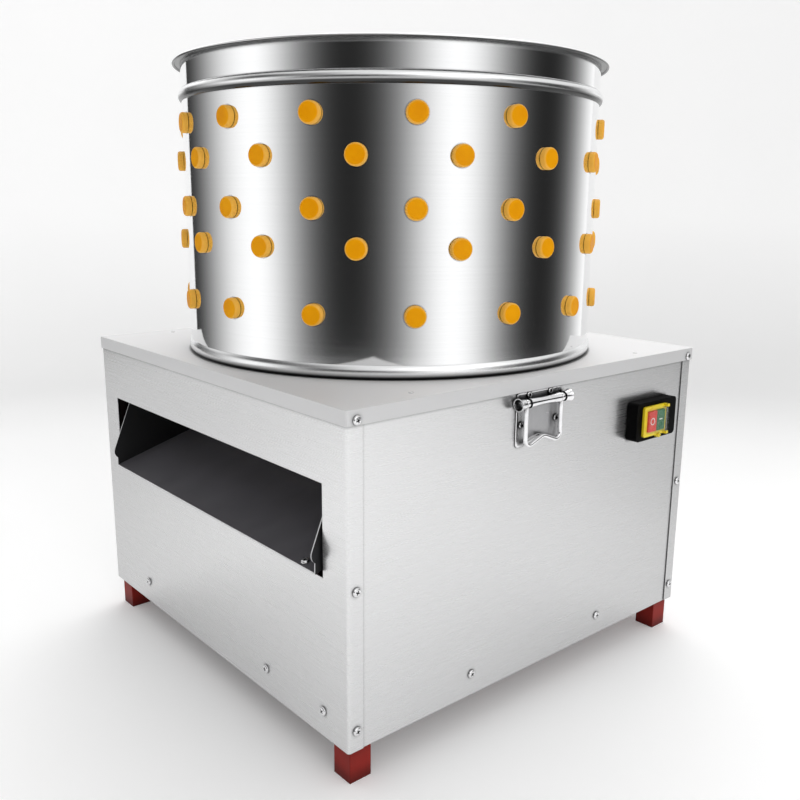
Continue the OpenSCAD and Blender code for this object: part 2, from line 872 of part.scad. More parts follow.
// The child's +Z points into the drum, from the wall's outer face
module row_places(row) {
    for (a = row_angles(row))
        rotate([0, 0, a]) translate([0, -drum_r, base_h + row_z[row]]) rotate([-90, 0, 0]) children();
}

module drum_shell() {
    color(mirror_steel) difference() {
        translate([0, 0, base_h]) rotate_extrude($fn = 120) drum_profile();
        for (row = [0:4])
            row_places(row) translate([0, 0, -eps]) cylinder(r = finger_hole_r, h = drum_wall + 2 * eps);
    }
}

// Moulded finger through a wall of thickness wall: head below z = 0, ribbed body above
function rib_points(i, z0, pitch) =
    let (r = finger_root_r + (finger_tip_r - finger_root_r) * i / rib_count, z = z0 + i * pitch)
        [[r, z], [r, z + 0.4 * pitch], [r + rib_h, z + 0.55 * pitch], [r + rib_h, z + 0.8 * pitch]];

module finger(wall) {
    collar_z = wall + collar_seat;
    body_z = collar_z + collar_h;
    tip_z = finger_len - finger_tip_r;
    pitch = (tip_z - body_z) / rib_count;
    rotate_extrude()
        polygon(concat(
            [[0, -head_h]],
            arc_points([head_r - head_edge, head_edge - head_h], head_edge, -90, 0, 4),
            [[head_r, -head_seat], [neck_r, -head_seat], [neck_r, collar_z], [collar_r, collar_z]],
            [[collar_r, body_z]],
            [for (i = [0:rib_count - 1]) each rib_points(i, body_z, pitch)],
            arc_points([0, tip_z], finger_tip_r, 0, 90, 4)));
}

module drum_fingers(row) {
    color(amber) row_places(row) finger(drum_wall);
}

// Turntable: flat plate with a skirt, fingers in three rings
module ring_places(r, count, turn) {
    for (k = [0:count - 1])
        rotate([0, 0, turn + k * 360 / count]) translate([r, 0, table_z]) children();
}

module all_ring_places() {
    ring_places(ring_1_r, ring_1_count, ring_1_turn) children();
    ring_places(ring_2_r, ring_2_count, ring_2_turn) children();
    ring_places(ring_3_r, ring_3_count, ring_3_turn) children();
}

module hub_bolt_places() {
    for (a = [30:60:359])
        rotate([0, 0, a]) translate([hub_bolt_pr, 0, table_top]) children();
}

module turntable_plate() {
    color(steel) difference() {
        union() {
            translate([0, 0, table_z]) cylinder(r = table_r, h = table_t, $fn = 120);
            translate([0, 0, table_z - table_skirt])
                difference() {
                    cylinder(r = table_r, h = table_skirt + table_t / 2, $fn = 120);
                    translate([0, 0, -eps])
                        cylinder(r = table_r - table_t, h = table_skirt + table_t + 2 * eps, $fn = 120);
                }
        }
        translate([0, 0, table_z - eps]) cylinder(r = shaft_hole, h = table_t + 2 * eps);
        all_ring_places() translate([0, 0, -eps]) cylinder(r = finger_hole_r, h = table_t + 2 * eps);
        hub_bolt_places() translate([0, 0, -table_t - eps]) cylinder(r = bolt_hole, h = table_t + 2 * eps);
    }
}

module turntable_fingers_inner() {
    color(amber) ring_places(ring_1_r, ring_1_count, ring_1_turn) finger(table_t);
}

module turntable_fingers_middle() {
    color(amber) ring_places(ring_2_r, ring_2_count, ring_2_turn) finger(table_t);
}

module turntable_fingers_outer() {
    color(amber) ring_places(ring_3_r, ring_3_count, ring_3_turn) finger(table_t);
}

module turntable_hub() {
    hub_h = hub_flange_t + hub_boss_h;
    color(steel) difference() {
        union() {
            translate([0, 0, table_z - hub_flange_t]) cylinder(r = hub_flange_r, h = hub_flange_t);
            translate([0, 0, hub_bottom]) cylinder(r = hub_r, h = hub_boss_h + eps);
        }
        translate([0, 0, hub_bottom - eps]) cylinder(r = shaft_hole, h = hub_h + 2 * eps);
        hub_bolt_places()
            translate([0, 0, -table_t - hub_flange_t - eps])
                cylinder(r = bolt_hole, h = hub_flange_t + 2 * eps);
    }
}

module hub_bolts() {
    color(steel) hub_bolt_places() hex_bolt(table_t + hub_flange_t);
}

module shaft_washer() {
    color(steel) translate([0, 0, table_top])
        difference() {
            cylinder(r = washer_r, h = washer_t);
            translate([0, 0, -eps]) cylinder(r = thread_r + hole_gap, h = washer_t + 2 * eps);
        }
}

// Domed nut on the shaft's threaded end
module shaft_cap_nut() {
    color(steel) translate([0, 0, table_top + washer_t])
        difference() {
            union() {
                cylinder(r = cap_r, h = cap_h, $fn = 6);
                intersection() {
                    translate([0, 0, cap_h - cap_dome_sink]) sphere(cap_dome_r);
                    translate([0, 0, cap_h - cap_dome_sink]) cylinder(r = cap_r, h = cap_r);
                }
            }
            translate([0, 0, -eps]) cylinder(r = thread_r + run_gap, h = thread_h - washer_t + 2 * eps);
        }
}

module main_shaft() {
    color(steel) difference() {
        union() {
            translate([0, 0, shaft_bottom]) cylinder(r = shaft_r, h = table_top - shaft_bottom);
            translate([0, 0, table_top - eps]) cylinder(r = thread_r, h = thread_h + eps);
        }
        translate([0, 0, shaft_bottom - eps]) cylinder(r = bolt_hole, h = pulley_w + eps);
    }
}

// Rubber cup on the shaft that covers the splash collar's mouth
module water_slinger() {
    slinger_h = slinger_top - slinger_low;
    color(dark_paint) translate([0, 0, slinger_low])
        difference() {
            cylinder(r = slinger_r, h = slinger_h);
            translate([0, 0, -eps])
                cylinder(r = slinger_r - slinger_wall, h = slinger_h - slinger_web + eps);
            translate([0, 0, -eps]) cylinder(r = shaft_hole, h = slinger_h + 2 * eps);
        }
}

// Bearing housing: square flange on the beams and a tube with a bearing in each end
module housing_bolt_places() {
    for (x = [-1, 1], y = [-1, 1])
        translate([x * bearing_beam_x, y * bearing_beam_x, beam_top]) children();
}

module bearing_housing() {
    color(red_paint) difference() {
        union() {
            translate([0, 0, beam_top])
                linear_extrude(housing_flange_t) round_rect(housing_flange, housing_flange, flange_corner);
            translate([0, 0, beam_top]) cylinder(r = bearing_r + housing_wall, h = housing_h);
        }
        translate([0, 0, beam_top - eps]) cylinder(r = bearing_r - bearing_step, h = housing_h + 2 * eps);
        translate([0, 0, beam_top - eps]) cylinder(r = bearing_r + run_gap, h = bearing_w + eps);
        translate([0, 0, housing_top - bearing_w]) cylinder(r = bearing_r + run_gap, h = bearing_w + eps);
        housing_bolt_places()
            translate([0, 0, -eps]) cylinder(r = bolt_hole, h = housing_flange_t + 2 * eps);
    }
}

module housing_bolts() {
    color(steel) housing_bolt_places()
        translate([0, 0, housing_flange_t]) hex_bolt(housing_flange_t + bolt_bite);
}

module bearing(z) {
    groove = 1;
    color(steel) translate([0, 0, z])
        rotate_extrude()
            difference() {
                translate([shaft_hole, 0]) square([bearing_r - shaft_hole, bearing_w]);
                for (y = [-eps, bearing_w - groove])
                    translate([shaft_hole + race_t, y])
                        square([bearing_r - shaft_hole - 2 * race_t, groove + eps]);
            }
}

module upper_bearing() {
    bearing(housing_top - bearing_w);
}

module lower_bearing() {
    bearing(beam_top);
}

// V-belt pulley profile: rim with groove, web and hub
module pulley_rim(r, rim_in) {
    difference() {
        translate([rim_in, -pulley_w / 2]) square([r - rim_in, pulley_w]);
        polygon([
            [r + eps, groove_w / 2 + eps * (groove_w - groove_bottom) / (2 * groove_depth)],
            [r - groove_depth, groove_bottom / 2],
            [r - groove_depth, -groove_bottom / 2],
            [r + eps, -groove_w / 2 - eps * (groove_w - groove_bottom) / (2 * groove_depth)]
        ]);
    }
}

module driven_pulley() {
    rim_t = 6;
    rim_in = pulley_r - groove_depth - rim_t;
    web_t = 8;
    web_mid = (rim_in + hub_r) / 2;
    web_hole_r = (rim_in - hub_r) / 4;
    color(dark_paint) translate([0, 0, belt_z])
        difference() {
            rotate_extrude($fn = 96) {
                pulley_rim(pulley_r, rim_in);
                translate([shaft_hole, -web_t / 2]) square([rim_in - shaft_hole + eps, web_t]);
                translate([shaft_hole, -pulley_w / 2]) square([hub_r - shaft_hole, pulley_w]);
            }
            for (a = [0:60:359])
                rotate([0, 0, a]) translate([web_mid, 0, -web_t]) cylinder(r = web_hole_r, h = 2 * web_t);
        }
}

module pulley_bolt() {
    color(steel) translate([0, 0, shaft_bottom])
        mirror([0, 0, 1]) {
            cylinder(r = washer_r, h = washer_t);
            translate([0, 0, washer_t]) hex_bolt(washer_t + pulley_w - tap_gap);
        }
}

// Belt: its section at each step round the loop, as [depth below the outer face, height]
belt_flank = (groove_w - groove_bottom) / (2 * groove_depth);
belt_half = groove_w / 2 - belt_drop * belt_flank - belt_gap;
belt_in_half = belt_half - belt_h * belt_flank;
belt_section = [[0, -belt_half], [0, belt_half], [belt_h, belt_in_half], [belt_h, -belt_in_half]];

// Steps round the loop, as [middle of the bend, radius of the outer face, angle]
belt_steps = concat(
    [for (i = [0:belt_turns]) [0, belt_r, belt_angle + (360 - 2 * belt_angle) * i / belt_turns]],
    [for (i = [0:belt_turns / 2]) [motor_x, belt_small_r, -belt_angle + 4 * belt_angle * i / belt_turns]]);

function belt_point(step, corner) =
    let (r = step[1] - corner[0])
        [step[0] + r * cos(step[2]), r * sin(step[2]), belt_z + corner[1]];

module drive_belt() {
    n = len(belt_steps);
    color(black_rubber)
        polyhedron(
            [for (step = belt_steps, corner = belt_section) belt_point(step, corner)],
            [for (i = [0:n - 1], j = [0:3])
                let (k = (i + 1) % n, m = (j + 1) % 4)
                    [4 * i + j, 4 * k + j, 4 * k + m, 4 * i + m]]);
}

// Motor: flanged body with fins, shaft pointing down between its beams
module motor_bolt_places() {
    for (x = [-1, 1], y = [-1, 1])
        translate([motor_x + x * motor_bolt_x, y * motor_bolt_y, beam_top]) children();
}

module motor_body() {
    flange_w_x = 2 * motor_bolt_x + flange_edge;
    flange_w_y = 2 * motor_bolt_y + flange_edge;
    color(motor_paint) difference() {
        translate([motor_x, 0, 0]) {
            translate([0, 0, beam_top])
                linear_extrude(motor_flange_t) round_rect(flange_w_x, flange_w_y, flange_corner);
            translate([0, 0, motor_base - eps]) cylinder(r = motor_core_r, h = motor_h + eps);
            for (k = [0:fin_count - 1])
                rotate([0, 0, k * 360 / fin_count])
                    translate([motor_core_r - eps, -fin_t / 2, motor_base + fin_end])
                        cube([fin_h + eps, fin_t, motor_h - 2 * fin_end]);
        }
        translate([motor_x, 0, beam_top - eps])
            cylinder(r = motor_shaft_hole, h = motor_flange_t + motor_h - rotor_end + 2 * eps);
        motor_bolt_places() translate([0, 0, -eps]) cylinder(r = bolt_hole, h = motor_flange_t + 2 * eps);
    }
}

module motor_fan_cover() {
    cap_t = 1.5;
    vent_count = 12;
    vent_w = 5;
    vent_in = 14;
    vent_edge = 10;
    cover_r = motor_r - 1;
    seat_h = fin_end - hole_gap;
    color(dark_paint) translate([motor_x, 0, motor_top])
        difference() {
            translate([0, 0, -seat_h]) cylinder(r = cover_r, h = fan_cover_h + seat_h);
            translate([0, 0, -seat_h - eps]) cylinder(r = motor_core_r + run_gap, h = seat_h + 2 * eps);
            cylinder(r = cover_r - cap_t, h = fan_cover_h - cap_t);
            for (k = [0:vent_count - 1])
                rotate([0, 0, k * 360 / vent_count])
                    translate([vent_in, -vent_w / 2, fan_cover_h - 2 * cap_t])
                        cube([cover_r - vent_in - vent_edge, vent_w, 3 * cap_t]);
        }
}

module motor_terminal_box() {
    box_w = 70;
    box_h = 60;
    box_out = 30;
    box_corner = 5;
    box_lap = 14;
    color(motor_paint) difference() {
        translate([motor_x, -motor_r - box_out, motor_base + motor_h / 2])
            rotate([-90, 0, 0]) linear_extrude(box_out + box_lap) round_rect(box_w, box_h, box_corner);
        translate([motor_x, 0, motor_base]) cylinder(r = motor_r + run_gap, h = motor_h);
    }
}

module motor_bolts() {
    color(steel) motor_bolt_places()
        translate([0, 0, motor_flange_t]) hex_bolt(motor_flange_t + bolt_bite);
}

module motor_shaft() {
    color(steel) translate([motor_x, 0, shaft_bottom])
        cylinder(r = motor_shaft_r, h = motor_top - rotor_end - shaft_bottom);
}

module motor_pulley() {
    color(dark_paint) translate([motor_x, 0, belt_z])
        rotate_extrude() pulley_rim(motor_pulley_r, motor_shaft_hole);
}

// Switch on the front panel: the child's x runs right, y up and z out of the panel
module at_switch() {
    on_front(switch_x, switch_z, -sheet) children();
}

module switch_box() {
    color(black_plastic) at_switch()
        difference() {
            linear_extrude(switch_depth) round_rect(switch_w, switch_h, switch_corner);
            translate([plate_x, 0, pocket_floor])
                linear_extrude(switch_depth) square([window_w, window_h], center = true);
        }
}

module flap_pin_line(r, len) {
    translate([flap_pin_x, 0, flap_pin_out]) rotate([90, 0, 0]) cylinder(r = r, h = len, center = true);
}

module switch_plate() {
    lug_w = 2 * flap_knuckle_r;
    lug_z = plate_face - plate_t / 2;
    color("gold") at_switch()
        difference() {
            union() {
                translate([plate_x, 0, switch_depth])
                    linear_extrude(plate_t)
                        difference() {
                            round_rect(plate_w, plate_h, plate_corner);
                            square([window_w, window_h], center = true);
                        }
                for (s = [0, 1])
                    mirror([0, s, 0])
                        translate([flap_pin_x - lug_w / 2, lug_in, lug_z])
                            cube([lug_w, lug_out - lug_in, flap_pin_out + flap_knuckle_r - lug_z]);
                translate([nub_x, nub_y, switch_depth])
                    linear_extrude(plate_t + nub_h) rotate(45) square(nub_side, center = true);
            }
            translate([nub_x, nub_y, switch_depth]) cylinder(r = nub_hole_r, h = plate_t + nub_h + eps);
            flap_pin_line(flap_pin_r + run_gap, plate_h + 2 * eps);
        }
}

module button(side) {
    at_switch()
        translate([plate_x + side * (button_w + button_gap) / 2, 0, button_bottom])
            linear_extrude(plate_face + button_out - button_bottom) round_rect(button_w, button_h, button_corner);
}

module red_button() {
    color("red") button(-1);
}

module green_button() {
    color("green") button(1);
}

module switch_flap() {
    shell_h = flap_h - flap_gap;
    color([0.8, 0.85, 0.85, 0.4]) at_switch()
        difference() {
            union() {
                translate([(flap_left + flap_pin_x) / 2, 0, plate_face + flap_gap])
                    difference() {
                        linear_extrude(shell_h) round_rect(flap_len, 2 * flap_half, flap_corner);
                        translate([0, 0, -eps])
                            linear_extrude(shell_h - flap_wall + eps)
                                round_rect(flap_len - 2 * flap_wall, 2 * (flap_half - flap_wall),
                                           flap_corner - flap_wall);
                    }
                flap_pin_line(flap_knuckle_r, 2 * flap_half);
            }
            flap_pin_line(flap_pin_r + run_gap, 2 * flap_half + 2 * eps);
        }
}

module flap_pin() {
    color(steel) at_switch() flap_pin_line(flap_pin_r, plate_h);
}

// Folding handle: the child's x runs along the pin, y up and z out of the panel
module at_front_handle() {
    on_front(handle_x, handle_z, -sheet) children();
}

module at_back_handle() {
    on_back(handle_x, handle_z, -sheet) children();
}

module along_pin() {
    translate([0, 0, handle_pin_out]) rotate([0, 90, 0]) children();
}

module handle_rivet_places() {
    for (s = [-1, 1]) {
        translate([s * top_rivet_x, handle_rise - rivet_edge, handle_t]) children();
        translate([s * bail_w / 2, -handle_drop / 2, handle_t]) children();
    }
}

module handle_rivet_cores() {
    handle_rivet_places()
        translate([0, 0, -rivet_len - eps]) cylinder(r = rivet_hole, h = rivet_len + 2 * eps);
}

module barrel_middle() {
    waist_half = barrel_in * 3 / 5;
    along_pin()
        rotate_extrude()
            polygon([
                [0, -barrel_in], [barrel_eye_r, -barrel_in], [barrel_waist_r, -waist_half],
                [barrel_waist_r, waist_half], [barrel_eye_r, barrel_in], [0, barrel_in]
            ]);
}

// Flared open end of the rolled barrel
module barrel_end() {
    roll_t = 1.2;
    along_pin()
        rotate_extrude()
            polygon([
                [0, barrel_out], [barrel_eye_r, barrel_out], [barrel_end_r, barrel_len / 2],
                [barrel_end_r - roll_t, barrel_len / 2], [barrel_eye_r - roll_t, barrel_out + barrel_cup],
                [0, barrel_out + barrel_cup]
            ]);
}

module handle_base() {
    web = 6;
    web_lap = 0.6;
    web_top = handle_pin_out - handle_pin_r - web_lap;
    end_web_top = handle_pin_out - barrel_eye_r + web_lap;
    end_web_in = 1;
    end_web_len = handle_w / 2 - barrel_out - end_web_in;
    plate_round = 4;
    color(mirror_steel) difference() {
        union() {
            linear_extrude(handle_t)
                difference() {
                    translate([0, (handle_rise - handle_drop) / 2])
                        round_rect(handle_w, handle_rise + handle_drop, plate_round);
                    translate([0, waist_cut - handle_drop - waist_cut_r]) circle(waist_cut_r);
                }
            barrel_middle();
            translate([-barrel_in, -web / 2, handle_t / 2])
                cube([2 * barrel_in, web, web_top - handle_t / 2]);
            for (s = [0, 1])
                mirror([s, 0, 0]) {
                    barrel_end();
                    translate([barrel_out, -web / 2, handle_t / 2])
                        cube([end_web_len, web, end_web_top - handle_t / 2]);
                }
        }
        along_pin() cylinder(r = handle_pin_r + run_gap, h = barrel_len + 2 * eps, center = true);
        handle_rivet_cores();
    }
}

module handle_pin() {
    color(steel) along_pin() cylinder(r = handle_pin_r, h = 2 * pin_half, center = true);
}

// Middle line of the bail's bar from an eye to the waist, as [x, y, direction of its outer side]
bail_line = concat(
    [[bail_w / 2, -bail_root, 0]],
    [for (i = [0:bail_steps])
        let (a = -(90 + bail_slope) * i / bail_steps)
            [bail_cx + bail_corner * cos(a), bail_cy + bail_corner * sin(a), a]],
    [for (i = [0:bail_steps])
        let (a = 90 - bail_slope + bail_slope * i / bail_steps)
            [bail_waist_r * cos(a), bail_wy + bail_waist_r * sin(a), a + 180]]);

// Edge of the bar at a distance outside its middle line, and the same on the other side
function bail_edge(out) = [for (p = bail_line) [p[0] + out * cos(p[2]), p[1] + out * sin(p[2])]];
function mirrored(pts) = [for (i = [len(pts) - 2:-1:0]) [-pts[i][0], pts[i][1]]];
function reversed(pts) = [for (i = [len(pts) - 1:-1:0]) pts[i]];

module handle_bail() {
    outer = bail_edge(bail_r);
    inner = bail_edge(-bail_r);
    color(mirror_steel) difference() {
        translate([0, 0, handle_pin_out]) {
            linear_extrude(2 * bail_r, center = true)
                polygon(concat(outer, mirrored(outer), reversed(concat(inner, mirrored(inner)))));
            for (s = [-1, 1])
                translate([s * bail_w / 2, 0, 0])
                    rotate([0, 90, 0]) cylinder(r = eye_r, h = eye_len, center = true);
        }
        along_pin() cylinder(r = handle_pin_r + run_gap, h = bail_w + 2 * eye_len, center = true);
    }
}

module handle_rivets() {
    color(steel) handle_rivet_places() {
        cylinder(r1 = rivet_head_r, r2 = rivet_head_r - 1, h = rivet_head_h);
        translate([0, 0, -rivet_len]) cylinder(r = rivet_r, h = rivet_len + rivet_head_h / 2);
    }
}

// Cable gland with its lock nut behind the back panel
module cable_gland() {
    thread_len = 12;
    nut_r = 13;
    nut_t = 5;
    body_h = 16;
    dome_r = 7;
    dome_h = 5;
    bore_r = 4.5;
    color(black_plastic) on_back(gland_x, gland_z, -sheet) {
        difference() {
            union() {
                cylinder(r = nut_r, h = nut_t, $fn = 6);
                cylinder(r = gland_r, h = body_h);
                translate([0, 0, body_h]) cylinder(r1 = gland_r, r2 = dome_r, h = dome_h);
                translate([0, 0, -thread_len]) cylinder(r = gland_thread_r, h = thread_len + eps);
            }
            translate([0, 0, -thread_len - eps])
                cylinder(r = bore_r, h = thread_len + body_h + dome_h + 2 * eps);
        }
        translate([0, 0, -sheet - nut_t])
            difference() {
                cylinder(r = nut_r, h = nut_t, $fn = 6);
                translate([0, 0, -eps]) cylinder(r = gland_thread_r + run_gap, h = nut_t + 2 * eps);
            }
    }
}

frame_legs();
upper_rails();
lower_rails();
cross_beams();
top_cover();
left_panel();
right_panel();
front_panel();
back_panel();
panel_screws();
cover_screws();
feather_chute();
chute_screws();
splash_collar();
drum_shell();
drum_fingers(0);  // drum_fingers_row_1
drum_fingers(1);  // drum_fingers_row_2
drum_fingers(2);  // drum_fingers_row_3
drum_fingers(3);  // drum_fingers_row_4
drum_fingers(4);  // drum_fingers_row_5
turntable_plate();
turntable_fingers_inner();
turntable_fingers_middle();
turntable_fingers_outer();
turntable_hub();
hub_bolts();
shaft_washer();
shaft_cap_nut();
main_shaft();
water_slinger();
bearing_housing();
housing_bolts();
upper_bearing();
lower_bearing();
driven_pulley();
pulley_bolt();
drive_belt();
motor_body();
motor_fan_cover();
motor_terminal_box();
motor_bolts();
motor_shaft();
motor_pulley();
switch_box();
switch_plate();
red_button();
green_button();
switch_flap();
flap_pin();
at_front_handle() handle_base();  // front_handle_base
at_front_handle() handle_pin();  // front_handle_pin
at_front_handle() handle_bail();  // front_handle_bail
at_front_handle() handle_rivets();  // front_handle_rivets
at_back_handle() handle_base();  // back_handle_base
at_back_handle() handle_pin();  // back_handle_pin
at_back_handle() handle_bail();  // back_handle_bail
at_back_handle() handle_rivets();  // back_handle_rivets
cable_gland();
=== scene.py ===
"""Looks of the drum poultry plucker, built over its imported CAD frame.

Metres, in the CAD's frame: the origin is on the floor under the drum's axis, +Z is up and the front
looks to -Y. Small pieces are drawn in millimetres in a frame of their own: right, up and out of the
face that carries them.
"""

import math

import bmesh
import bpy
from mathutils import Matrix, Vector

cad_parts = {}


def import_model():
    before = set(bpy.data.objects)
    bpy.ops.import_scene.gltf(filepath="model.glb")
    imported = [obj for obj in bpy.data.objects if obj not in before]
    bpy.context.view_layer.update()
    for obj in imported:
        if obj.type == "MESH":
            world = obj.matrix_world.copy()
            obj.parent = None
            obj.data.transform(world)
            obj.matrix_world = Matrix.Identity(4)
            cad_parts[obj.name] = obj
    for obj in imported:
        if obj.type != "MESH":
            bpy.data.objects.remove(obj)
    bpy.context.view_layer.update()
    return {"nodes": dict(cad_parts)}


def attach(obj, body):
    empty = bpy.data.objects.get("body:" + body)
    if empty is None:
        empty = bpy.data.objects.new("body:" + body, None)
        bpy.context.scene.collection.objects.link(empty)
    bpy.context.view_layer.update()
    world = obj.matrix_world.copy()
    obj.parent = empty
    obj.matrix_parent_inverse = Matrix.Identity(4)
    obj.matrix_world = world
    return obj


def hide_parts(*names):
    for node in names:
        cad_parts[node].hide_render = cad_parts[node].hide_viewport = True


MM = 0.001
X, Y, Z = Vector((1, 0, 0)), Vector((0, 1, 0)), Vector((0, 0, 1))

# Camera of the photograph
CAMERA_PLACE = (-0.72751, -0.87273, 0.56107)
CAMERA_FORWARD = (0.63337, 0.74121, -0.22238)
CAMERA_ROLL = 0.44
CAMERA_LENS, CAMERA_SENSOR, CAMERA_NEAR = 39.74, 36, 0.01

# Sizes that the pieces share with the CAD, in millimetres
SIDE_FACE, FRONT_FACE, SHEET = 274, 270, 1.2
LID_LIP = 1.6
FLANGE_SCREW_X, FLANGE_SCREW_Z = 264, (60, 204.5)
LOW_SCREW_X, LOW_SCREW_Z = 108, 63
SIDE_SCREW_Y, SIDE_SCREW_Z = (164, -124, -229), 66
LIP_SCREW_Z = 369.5
CHUTE_SLOPE = math.radians(16.4)
CHUTE_SCREW = (-274, -202, 215.41)
CHUTE_FLANGE_X, CHUTE_FLANGE_Y, CHUTE_FLANGE_Z = (-181.5, 0, 181.5), 249.8, 373.8
BEAD_Z, FOOT_BEAD_Z, BEAD_REACH, RIM_Z = 675, 387, 6.8, 706
HANDLE_X, HANDLE_Z, PIN_OUT, PIN_R = -16.5, 353.5, 8, 2.5
HANDLE_W, HANDLE_RISE, HANDLE_DROP, HANDLE_T = 72, 11, 48.5, 1.5
WAIST_CUT, WAIST_CUT_R = 7, 40
BAIL_HALF, BAIL_R, EYE_R, EYE_LEN = 28, 2.5, 4.6, 7
RIVET_PLACES = [(-17, 7), (17, 7), (-28, -24.25), (28, -24.25)]
SWITCH_X, SWITCH_Z = 185.5, 302.5
BUTTON_FACE, RED_X, GREEN_X = 20, -14.8, 1.8

# Sizes of the finer pieces, in millimetres; a section is (radius, height)
SCREW_HEAD = [(2.4, -6), (2.4, 0), (4.8, 0), (4.8, 0.6), (4.6, 1.25), (4.15, 1.85), (3.5, 2.3),
              (2.9, 2.55)]
RECESS_ARM, RECESS_TIP, RECESS_DEPTH, RECESS_TAPER = 0.62, 2.35, 1.5, 0.6
FIRST_TURN, NEXT_TURN = 0.35, 2.4
RIVET_RING = [(1.6, -4), (1.6, 0.7), (1.8, 1.2), (2.4, 1.5), (3.1, 1.4), (3.7, 0.9), (3.9, 0.3),
              (3.9, 0), (2.4, 0), (2.4, -4)]
STOP_RING = [(3.3, -0.3), (4.5, -0.3), (4.5, 0.1), (4.3, 0.25), (3.5, 0.25), (3.3, 0.1)]
START_BAR_HALF, START_BAR_R, START_BAR_UP = 2.6, 0.8, 1
PIN_BORE, EYE_PLAY = PIN_R + 0.1, 0.5
BARREL_WAIST, BARREL_FLARE, BARREL_END = 4.1, 1.3, 41

# Pressed levels of a plate and a mark: (how far in from the outline, height)
PLATE_LEVELS = [(0, 0), (0, HANDLE_T - 0.5), (0.5, HANDLE_T), (2.6, HANDLE_T), (3.4, HANDLE_T - 0.7)]
START_BAR_LEVELS = [(0, -0.3), (0, 0.1), (0.15, 0.25)]

# Most of a noise lies between these values
NOISE_LOW, NOISE_HIGH = 0.3, 0.7

# Studio, in degrees from the light flat in front of the object, on the camera's right. The flats
# along the horizon are a wave round the turn, drawn out before FLATS_BREAK.
STUDIO_AZIMUTH = 264
FLATS_PER_TURN, FLATS_BREAK, FLATS_DRAWN_OUT = 3.27, -110, 0.28
FLATS_SWING, FLATS_MIDDLE, FLATS_CONTRAST = 0.425, 0.58, 2.2
FLATS_GAIN, FLATS_LEAST = 1.08, 0.004
# Brightness above and below the flats: (degrees, brightness)
SKY = [(-180, 1.6), (-150, 0.8), (-115, 0.03), (-80, 0.2), (-45, 0.8), (-10, 1.5), (20, 1.5),
       (50, 0.85), (90, 0.8), (130, 1.6), (180, 1.6)]
GROUND = [(-180, 0.25), (-160, 0.4), (-148, 0.65), (-137, 1.05), (-110, 1.1), (-60, 0.95), (30, 1.15),
          (43, 1.1), (55, 0.95), (65, 0.75), (90, 0.4), (180, 0.25)]
OVERHEAD, UNDERFOOT = 0.8, 0.7
# Where one part of the studio turns into the next, as the sine of the elevation
FLATS_TO_SKY, FLATS_TO_GROUND = (0.2, 0.34), (-0.18, -0.22)
SKY_TO_OVERHEAD, GROUND_TO_SKY, GROUND_TO_UNDERFOOT = (0.6, 0.8), (-0.05, 0.05), (-0.17, -0.6)

# Paper floor that bends up into a wall behind the object, in metres, and degrees round the axis
STAGE_BEHIND, STAGE_HALF, STAGE_STEP = 49.5, 46, 3
STAGE_REACH, STAGE_WALL, STAGE_BEND, BEND_STEPS = 2.2, 1.6, 0.5, 10
FLOOR_TONE, WALL_TONE = (0.93, 0.95), (0.48, 0.5)
FLOOR_GLOW, WALL_GLOW = 0.14, 0.6
# Painted shade on the paper's sides: front in degrees, its tone, and the reach in metres where it starts
SIDES_FRONT, SIDES_TONE, SIDES_FROM = 230, 0.82, (0.65, 1.0)
SUN_TRAVEL, SUN_ENERGY, SUN_ANGLE = (-0.40, -0.30, -0.85), 0.8, 40


def grey(value):
    return (value, value, value)


